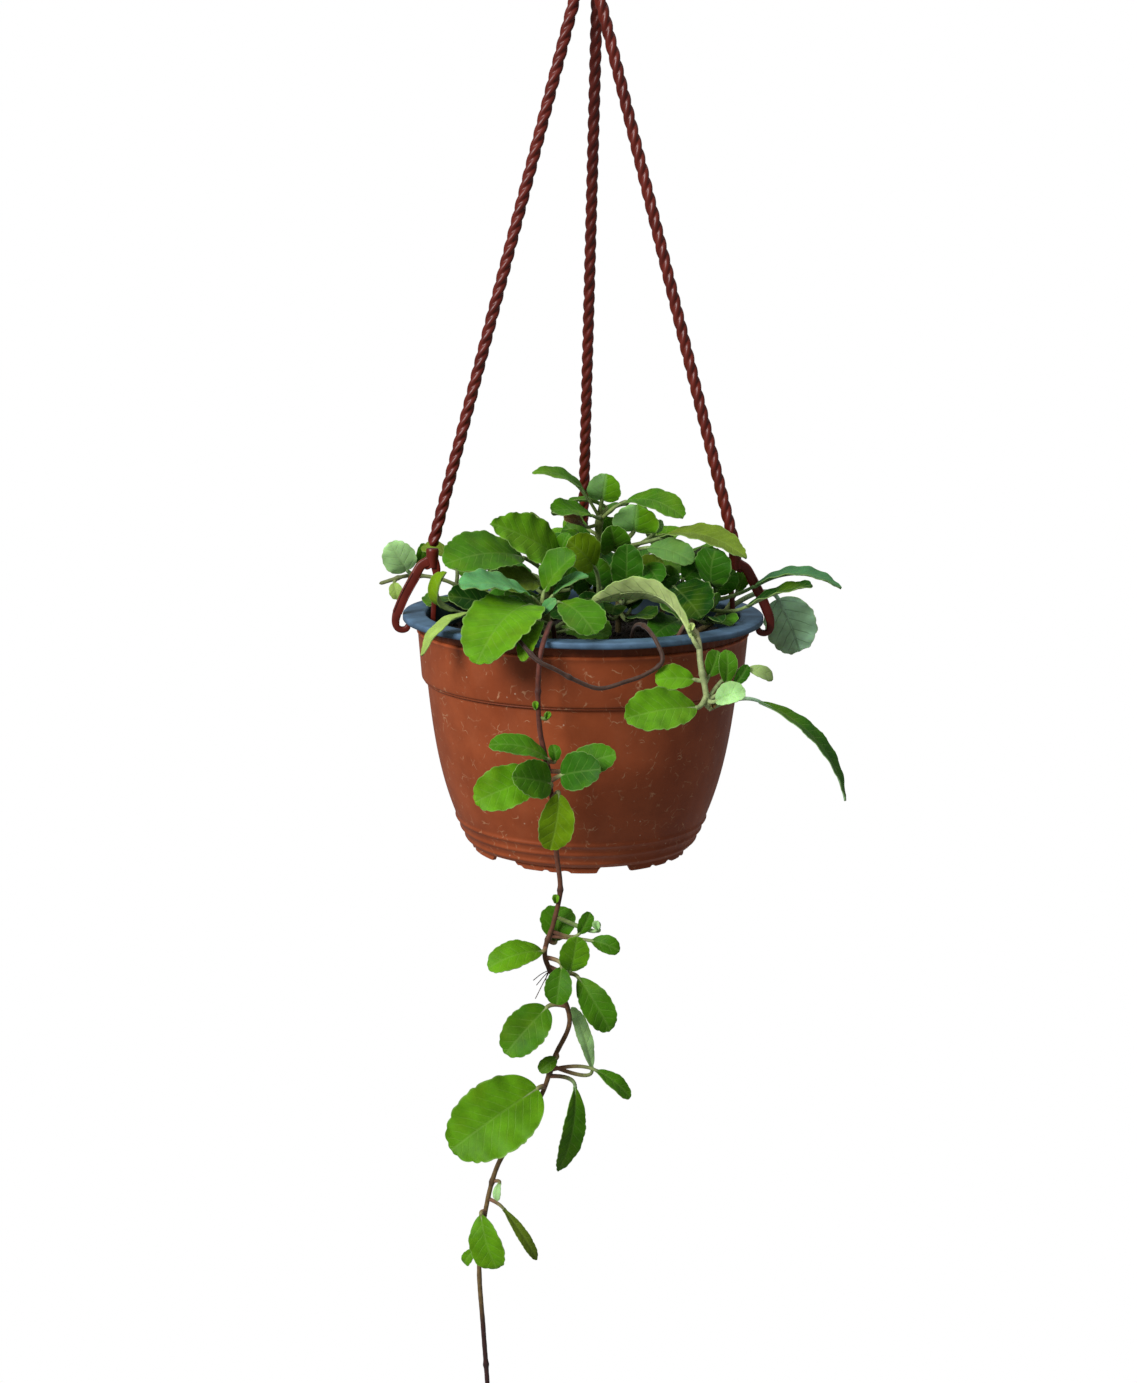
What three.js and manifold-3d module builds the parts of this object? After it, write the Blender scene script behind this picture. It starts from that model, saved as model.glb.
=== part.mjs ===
// A trailing alsobia in a plastic hanging pot: a terracotta outer pot, a slate liner whose flange
// rests on it, soil, three twisted strands that clip to the flange and meet under a hook, and the
// plant with its shoots, runners and leaves. Millimetres, +Z up. The origin is the top of the hook's
// inside, where the hook hangs. The front of the plant faces -Y.
import * as THREE from 'three';
import { mergeVertices } from 'three/addons/utils/BufferGeometryUtils.js';
import Module from 'manifold-3d';

const wasm = await Module();
wasm.setup();

// ---- driving dimensions -------------------------------------------------------------------------

const GAP = 0.3;                 // between two pieces that touch
const AROUND = 36;               // facets round a pot

const RIM_DROP = 355;            // from the hanging point down to the rim's middle height
const RIM_RADIUS = 91;           // outside of the flange
const FLANGE_WIDTH = 7.6;        // how far the flange stands out past the collar
const FLANGE_LIP = 2.9;          // height of the flange's turned-down edge
const LINER_WALL = 1.2;
const POT_WALL = 2;
const POT_HEIGHT = 119.5;        // outer pot, from its top edge down to its feet
const COLLAR_HEIGHT = 24;        // plain band under the rim, above the step
const COLLAR_RADIUS = RIM_RADIUS - FLANGE_WIDTH;
const NECK_IN = 0.6;             // how far the neck over the lip line stands in from the collar
const STEP_IN = 2.4;             // how far the wall steps in under the collar
const BASE_RADIUS = 56;
const RIB_HEIGHT = 5.2;          // pitch of the three turned ribs near the base
const RIB_PROUD = 0.9;
const FOOT_HEIGHT = 4.4;         // skirt below the outer pot's floor
const FOOT_COUNT = 6;
const FOOT_NOTCH = 17;           // width of the gap between two feet
const DRAIN_HOLES = 7;
const DRAIN_RADIUS = 4;
const DRAIN_CIRCLE = 34;
const SOIL_DEPTH_BELOW_RIM = 11;

const STRAND_DIAMETER = 6;
const STRAND_ANGLES = { left: 186, right: 354, back: 90 };
const CLIP_THICKNESS = 4.4;
const CLIP_LEG = 5.4;            // width of the clip's outer leg
const CLIP_INNER_LEG = 2.6;
const CLIP_PLAY = 2;             // between a clip's inner leg and the liner
const CLIP_INSET = FLANGE_WIDTH + NECK_IN + POT_WALL + GAP + LINER_WALL + CLIP_PLAY + CLIP_INNER_LEG / 2;
const CLIP_RISE = 35;            // top of the clip above the rim's middle height
const HUB_RADIUS = 8;
const HUB_HEIGHT = 16;
const HOOK_RADIUS = 9;           // inside of the hook
const HOOK_ROD = 5;
const HOOK_STEM = 14;            // from the hub up to the start of the hook's bend

const LEAF_THICKNESS = 1.1;
const PETIOLE_WIDTH = 1.9;
const SHOOT_DIAMETER = 3.2;
const RUNNER_DIAMETER = 2.4;
const GROWN_RADIUS = 91;         // rim that the plant's places were written for: it spreads with it

const COLOURS = {
  terracotta: 0x9c4527, slate: 0x4d6a80, soil: 0x2e2119, hanger: 0x7a2f22,
  leaf: 0x4c8a22, shoot: 0x7d8a4a, runner: 0x5b3a2e,
};

// ---- solids and helpers -------------------------------------------------------------------------

const radians = THREE.MathUtils.degToRad;
const vec = ([x, y, z]) => new THREE.Vector3(x, y, z);

function solidOf(geometry) {
  const bare = geometry.index ? geometry.toNonIndexed() : geometry.clone();
  for (const name of Object.keys(bare.attributes)) if (name !== 'position') bare.deleteAttribute(name);
  const merged = mergeVertices(bare, 1e-4);
  const vertProperties = new Float32Array(merged.attributes.position.array);
  const triVerts = new Uint32Array(merged.index.array);
  return new wasm.Manifold(new wasm.Mesh({ numProp: 3, vertProperties, triVerts }));
}

function geometryOf(solid) {
  const mesh = solid.getMesh();
  const geometry = new THREE.BufferGeometry();
  geometry.setAttribute('position', new THREE.BufferAttribute(new Float32Array(mesh.vertProperties), 3));
  geometry.setIndex(new THREE.BufferAttribute(new Uint32Array(mesh.triVerts), 1));
  return geometry;
}

function joined(solids) {
  return solids.reduce((whole, solid) => whole.add(solid));
}

function cut(solid, tools) {
  return tools.reduce((rest, tool) => rest.subtract(tool), solid);
}

function node(name, shape, colour, roughness = 0.6) {
  const geometry = shape.isBufferGeometry ? shape : geometryOf(shape);
  const material = new THREE.MeshStandardMaterial({ color: colour, roughness, metalness: 0 });
  const mesh = new THREE.Mesh(geometry, material);
  mesh.name = name;
  return mesh;
}

// A closed body of rings of points, each ring counter-clockwise seen from the end it starts at.
function loft(rings) {
  const sides = rings[0].length;
  const positions = rings.flat().flatMap((point) => point.toArray());
  const index = [];
  for (let i = 0; i + 1 < rings.length; i += 1) {
    for (let j = 0; j < sides; j += 1) {
      const a = i * sides + j;
      const b = i * sides + ((j + 1) % sides);
      index.push(a, b, a + sides, b, b + sides, a + sides);
    }
  }
  const last = (rings.length - 1) * sides;
  for (let j = 1; j + 1 < sides; j += 1) {
    index.push(0, j + 1, j, last, last + j, last + j + 1);
  }
  const geometry = new THREE.BufferGeometry();
  geometry.setAttribute('position', new THREE.Float32BufferAttribute(positions, 3));
  geometry.setIndex(index);
  return geometry;
}

function turned(profile, around = AROUND) {
  const points = profile.map(([radius, z]) => new THREE.Vector2(Math.max(radius, 0), z));
  const geometry = new THREE.LatheGeometry([...points, points[0]].reverse(), around);
  return solidOf(geometry.rotateX(Math.PI / 2));
}

function tube(points, diameter, sides, steps) {
  const curve = new THREE.CatmullRomCurve3(points.map(vec), false, 'centripetal');
  const section = new THREE.Shape();
  for (let i = 0; i < sides; i += 1) {
    const angle = (i / sides) * 2 * Math.PI;
    section[i ? 'lineTo' : 'moveTo'](diameter / 2 * Math.cos(angle), diameter / 2 * Math.sin(angle));
  }
  section.closePath();
  return solidOf(new THREE.ExtrudeGeometry(section, { steps, extrudePath: curve, bevelEnabled: false }));
}

// A flat bar of even width along a line in the upright plane through the pot's axis.
function bar(points, width, thickness) {
  const left = [];
  const right = [];
  points.forEach(([x, z], i) => {
    const [x0, z0] = points[Math.max(i - 1, 0)];
    const [x1, z1] = points[Math.min(i + 1, points.length - 1)];
    const length = Math.hypot(x1 - x0, z1 - z0);
    const across = [-(z1 - z0) / length * width / 2, (x1 - x0) / length * width / 2];
    left.push(new THREE.Vector2(x + across[0], z + across[1]));
    right.unshift(new THREE.Vector2(x - across[0], z - across[1]));
  });
  const geometry = new THREE.ExtrudeGeometry(new THREE.Shape([...left, ...right]), {
    depth: thickness, bevelEnabled: false,
  });
  return solidOf(geometry.rotateX(Math.PI / 2).translate(0, thickness / 2, 0));
}

// ---- pot, liner and soil: turned about the pot's axis, z = 0 at the rim's middle height -----------

const RIM_TOP = 1.5;
const POT_TOP = RIM_TOP - LINER_WALL - GAP;
const POT_FOOT = POT_TOP - POT_HEIGHT;
const COLLAR_TOP = POT_TOP - 8;
const STEP = COLLAR_TOP - COLLAR_HEIGHT;
const STEP_RADIUS = COLLAR_RADIUS - 2 - STEP_IN;
const FLOOR = POT_FOOT + FOOT_HEIGHT;

// The wall's outside below the step: it falls steeply at first and turns in like a bowl.
function wallRadius(z) {
  const down = (STEP - z) / (STEP - POT_FOOT);
  return STEP_RADIUS + (BASE_RADIUS - STEP_RADIUS) * (0.42 * down + 0.58 * down ** 3);
}

function wallHeights(count) {
  return Array.from({ length: count + 1 }, (_, i) => STEP + (FLOOR - STEP) * (i / count));
}

function ribbedWall() {
  const lowest = FLOOR + 1.2;
  const ribs = [2, 1, 0].map((i) => lowest + i * RIB_HEIGHT);
  const plain = wallHeights(7).filter((z) => z > ribs[0] + 2.5).map((z) => [wallRadius(z), z]);
  const ridges = ribs.flatMap((z) => [
    [wallRadius(z + 1.4), z + 1.4], [wallRadius(z) + RIB_PROUD, z + 0.5],
    [wallRadius(z) + RIB_PROUD, z - 0.5], [wallRadius(z - 1.4), z - 1.4],
  ]);
  return [...plain, ...ridges];
}

function outerPot() {
  const neck = COLLAR_RADIUS - NECK_IN;
  const outside = [
    [neck, POT_TOP], [neck, COLLAR_TOP + 1.6], [COLLAR_RADIUS + 0.6, COLLAR_TOP + 1],
    [COLLAR_RADIUS, COLLAR_TOP - 0.6], [COLLAR_RADIUS - 2, STEP + 1.4], ...ribbedWall(),
    [BASE_RADIUS, POT_FOOT], [BASE_RADIUS - POT_WALL, POT_FOOT], [BASE_RADIUS - POT_WALL, FLOOR],
    [0, FLOOR], [0, FLOOR + POT_WALL],
  ];
  const inside = [...wallHeights(5).slice(0, -1).reverse().map((z) => [wallRadius(z) - POT_WALL, z]),
    [COLLAR_RADIUS - 2.4 - POT_WALL, STEP + 3], [neck - POT_WALL, COLLAR_TOP], [neck - POT_WALL, POT_TOP]];
  const floorEdge = [wallRadius(FLOOR + POT_WALL) - POT_WALL, FLOOR + POT_WALL];
  const body = turned([...outside, floorEdge, ...inside]);
  const notches = Array.from({ length: FOOT_COUNT }, (_, i) => {
    const notch = new THREE.BoxGeometry(FOOT_NOTCH, POT_WALL * 8, FOOT_HEIGHT - 0.8);
    notch.translate(0, -BASE_RADIUS, POT_FOOT + FOOT_HEIGHT / 2 - 0.9);
    return solidOf(notch.rotateZ(radians(17 + i * (360 / FOOT_COUNT))));
  });
  return cut(body, [...notches, ...drains(FLOOR, POT_WALL)]);
}

function drains(floor, thickness) {
  return Array.from({ length: DRAIN_HOLES }, (_, i) => {
    const hole = new THREE.CylinderGeometry(DRAIN_RADIUS, DRAIN_RADIUS, thickness * 4, 10);
    hole.rotateX(Math.PI / 2).translate(DRAIN_CIRCLE, 0, floor + thickness / 2);
    return solidOf(hole.rotateZ(radians(i * (360 / DRAIN_HOLES))));
  });
}

const LINER_FLOOR = FLOOR + POT_WALL + GAP;

function linerOutside(z) {
  return wallRadius(z) - POT_WALL - GAP;
}

function innerPot() {
  const throat = COLLAR_RADIUS - NECK_IN - POT_WALL - GAP;
  const heights = wallHeights(5).filter((z) => z > LINER_FLOOR + 3);
  const bottom = linerOutside(LINER_FLOOR);
  const under = [
    [RIM_RADIUS, RIM_TOP - 0.6], [RIM_RADIUS, RIM_TOP - FLANGE_LIP],
    [RIM_RADIUS - LINER_WALL, RIM_TOP - FLANGE_LIP],
    [RIM_RADIUS - LINER_WALL, RIM_TOP - LINER_WALL], [throat, RIM_TOP - LINER_WALL], [throat, COLLAR_TOP],
    [COLLAR_RADIUS - 2.4 - POT_WALL - GAP, STEP + 3], ...heights.map((z) => [linerOutside(z), z]),
    [bottom, LINER_FLOOR], [0, LINER_FLOOR], [0, LINER_FLOOR + LINER_WALL],
    [bottom - LINER_WALL, LINER_FLOOR + LINER_WALL],
  ];
  const within = [...heights.map((z) => [linerOutside(z) - LINER_WALL, z]).reverse(),
    [COLLAR_RADIUS - 2.4 - POT_WALL - GAP - LINER_WALL, STEP + 3],
    [throat - LINER_WALL, COLLAR_TOP], [throat - LINER_WALL, RIM_TOP - 0.6],
    [throat, RIM_TOP], [RIM_RADIUS - 0.6, RIM_TOP]];
  return cut(turned([...under, ...within]), drains(LINER_FLOOR, LINER_WALL));
}

const SOIL_TOP = -SOIL_DEPTH_BELOW_RIM;

function pottingSoil() {
  const base = LINER_FLOOR + LINER_WALL + GAP;
  const wall = (z) => linerOutside(z) - LINER_WALL - GAP;
  const heights = wallHeights(5).filter((z) => z > base + 3);
  const corner = linerOutside(LINER_FLOOR) - LINER_WALL - GAP;
  const top = COLLAR_RADIUS - 2.8 - POT_WALL - LINER_WALL - GAP * 2;
  const side = [[top, SOIL_TOP], ...heights.map((z) => [wall(z), z]), [corner, base]];
  return turned([[0, SOIL_TOP], ...side, [0, base]]);
}

// ---- hanger: hook and hub, strands and clips -----------------------------------------------------

const HUB_BOTTOM = RIM_DROP - HOOK_RADIUS - HOOK_STEM - HOOK_ROD * 2 - HUB_HEIGHT;
const STRAND_TOPS = { left: [-0.83, -0.25], right: [0.45, -0.25], back: [0.6, 0.79] };   // in diameters

function hangerHook() {
  const hub = turned([
    [0, HUB_BOTTOM + HUB_HEIGHT], [HOOK_ROD / 2 + 1, HUB_BOTTOM + HUB_HEIGHT],
    [HUB_RADIUS, HUB_BOTTOM + HUB_HEIGHT * 0.6], [HUB_RADIUS, HUB_BOTTOM + 1],
    [HUB_RADIUS - 1, HUB_BOTTOM], [0, HUB_BOTTOM],
  ], 24);
  const bend = HOOK_RADIUS + HOOK_ROD / 2;
  const centre = RIM_DROP - HOOK_RADIUS;
  const stemFoot = HUB_BOTTOM + HUB_HEIGHT - 1;
  const over = Array.from({ length: 9 }, (_, i) => {
    const angle = radians(i * 24);
    return [bend * Math.cos(angle), 0, centre + bend * Math.sin(angle)];
  });
  const rise = [[0, 0, stemFoot], [0, 0, stemFoot + 4], [bend * 0.55, 0, centre - bend * 1.25],
    [bend * 0.93, 0, centre - bend * 0.55]];
  return hub.add(tube([...rise, ...over], HOOK_ROD, 8, 28));
}

const CLIP_TOP = CLIP_RISE - 1;

function strand(side) {
  const angle = radians(STRAND_ANGLES[side]);
  const inset = RIM_RADIUS - CLIP_INSET;
  const [x, y] = STRAND_TOPS[side].map((share) => share * STRAND_DIAMETER);
  const foot = [inset * Math.cos(angle), inset * Math.sin(angle), CLIP_RISE + GAP];
  return tube([foot, [x, y, HUB_BOTTOM - 1]], STRAND_DIAMETER, 8, 16);
}

// Outer leg with the curl that grips under the flange's lip, inner leg inside the pot, and the arch.
function rimClip(side) {
  const inner = RIM_RADIUS - CLIP_INSET;
  const lip = RIM_TOP - FLANGE_LIP;
  const shoulder = [RIM_RADIUS - 7.5, CLIP_RISE - 11];
  const outerLeg = [shoulder, [RIM_RADIUS + 3.5, RIM_TOP], [RIM_RADIUS + 3.3, lip - 2]];
  const curl = [[RIM_RADIUS + 3.1, lip], [RIM_RADIUS + 2.4, lip - 4], [RIM_RADIUS - 0.2, lip - 5.6],
    [RIM_RADIUS - 2.8, lip - 4.6], [RIM_RADIUS - 3.6, lip - 2.4]];
  const arch = [[shoulder[0] - 1.2, shoulder[1] - 1], [shoulder[0] - 2.4, shoulder[1] + 3.6],
    [inner + 2.6, shoulder[1] + 4.6], [inner + 0.4, shoulder[1] + 2.2], [inner, shoulder[1] - 1]];
  const socket = new THREE.CylinderGeometry(STRAND_DIAMETER / 2, STRAND_DIAMETER / 2 - 0.4, 10, 12);
  socket.rotateX(Math.PI / 2).translate(inner, 0, CLIP_TOP - 5);
  const clip = joined([
    bar(outerLeg, CLIP_LEG, CLIP_THICKNESS), bar(curl, 3, CLIP_THICKNESS), bar(arch, 4.6, CLIP_THICKNESS),
    bar([[inner, shoulder[1]], [inner, -6]], CLIP_INNER_LEG, CLIP_THICKNESS - 1), solidOf(socket),
  ]);
  return clip.rotate([0, 0, STRAND_ANGLES[side]]);
}

// ---- the plant: leaves and shoots ------------------------------------------------------------------

// How a blade's half width swells from its base (0) to its tip (1), for each form of leaf.
const FORMS = {
  round: [0.5, 0.5], oval: [0.7, 0.5], ovate: [0.5, 0.75], spoon: [1, 0.45], long: [0.8, 0.75],
};
const BLADE_STATIONS = [0, 0.12, 0.3, 0.52, 0.74, 0.92, 1];
const SMALL_BLADE_STATIONS = [0, 0.2, 0.5, 0.84, 1];
const PETIOLE_STATIONS = [0, 0.5];

function outline(form, u) {
  const [p, q] = FORMS[form];
  const peak = (p / (p + q)) ** p * (q / (p + q)) ** q;
  return (u ** p * (1 - u) ** q) / peak;
}

// One leaf: its blade from base to tip, the way its upper face looks, how far its midrib arches
// that way, how much its sides cup up, and by how many degrees the blade rolls about its midrib. It
// joins its shoot at `root`, or at `at` along the shoot.
function leaf(base, tip, width, up, options = {}) {
  const { arch = 2, cup = 0.15, form = 'oval', roll = 0, at = 1, root = null } = options;
  return { base, tip, width, up, arch, cup, form, roll, at, root };
}

const SPREAD = RIM_RADIUS / GROWN_RADIUS;
const place = ([x, y, z]) => new THREE.Vector3(x * SPREAD, y * SPREAD, z);

function leafSolid(row, shoot, stations) {
  const base = place(row.base);
  const tip = place(row.tip);
  const root = row.root ? place(row.root) : shoot.curve.getPointAt(row.at);
  const along = tip.clone().sub(base);
  const up = vec(row.up).normalize();
  up.addScaledVector(along, -up.dot(along) / along.lengthSq()).normalize();
  const crown = base.clone().lerp(tip, 0.5).addScaledVector(up, row.arch * 2);
  const blade = new THREE.QuadraticBezierCurve3(base, crown, tip);
  const reach = base.distanceTo(root);
  const knee = base.clone().addScaledVector(blade.getTangent(0), -reach * 0.4);
  const petiole = new THREE.QuadraticBezierCurve3(root, knee, base);
  const thin = PETIOLE_WIDTH / 2;
  const roll = radians(row.roll);
  const rings = PETIOLE_STATIONS.map((u) => leafRing(petiole, u, up, thin, 0, roll * u));
  for (const u of stations) {
    const half = Math.max((row.width / 2) * outline(row.form, u), u < 0.5 ? thin : 0.5);
    rings.push(leafRing(blade, u, up, half, half > thin ? row.cup : 0, roll));
  }
  return solidOf(loft(rings));
}

function leafRing(curve, u, up, half, cup, roll) {
  const centre = curve.getPoint(u);
  const along = curve.getTangent(u);
  const side = up.clone().cross(along).normalize().applyAxisAngle(along, roll);
  const face = along.clone().cross(side).normalize();
  const thick = half > PETIOLE_WIDTH / 2 ? LEAF_THICKNESS / 2 : Math.min(half, PETIOLE_WIDTH / 2);
  const edge = (sign) => centre.clone().addScaledVector(side, sign * half).addScaledVector(face, cup * half);
  return [edge(1), centre.clone().addScaledVector(face, thick), edge(-1),
    centre.clone().addScaledVector(face, -thick)];
}

// Pairs of leaves that cross at right angles up a shoot: the lowest lie widest, the top ones stand.
function whorl(top, start, pairs, reach) {
  const leaves = [];
  for (let i = 0; i < pairs; i += 1) {
    for (const side of [0, 180]) {
      const azimuth = radians(start + 90 * i + side);
      const tilt = radians(4 + 24 * i + side / 30);
      const way = [Math.cos(azimuth) * Math.cos(tilt), Math.sin(azimuth) * Math.cos(tilt), Math.sin(tilt)];
      const up = [-Math.cos(azimuth) * Math.sin(tilt), -Math.sin(azimuth) * Math.sin(tilt), Math.cos(tilt)];
      const from = [top[0], top[1], top[2] - 7 * (pairs - 1 - i)];
      const length = reach * (1 - 0.2 * i);
      const at = 1 - 0.22 * (pairs - 1 - i);
      leaves.push(leaf(from.map((c, k) => c + way[k] * length * 0.34), from.map((c, k) => c + way[k] * length),
        length * 0.6, up, { arch: 3, cup: 0.2, form: 'spoon', at }));
    }
  }
  return leaves;
}

const SOIL = SOIL_TOP + 1.4;

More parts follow.
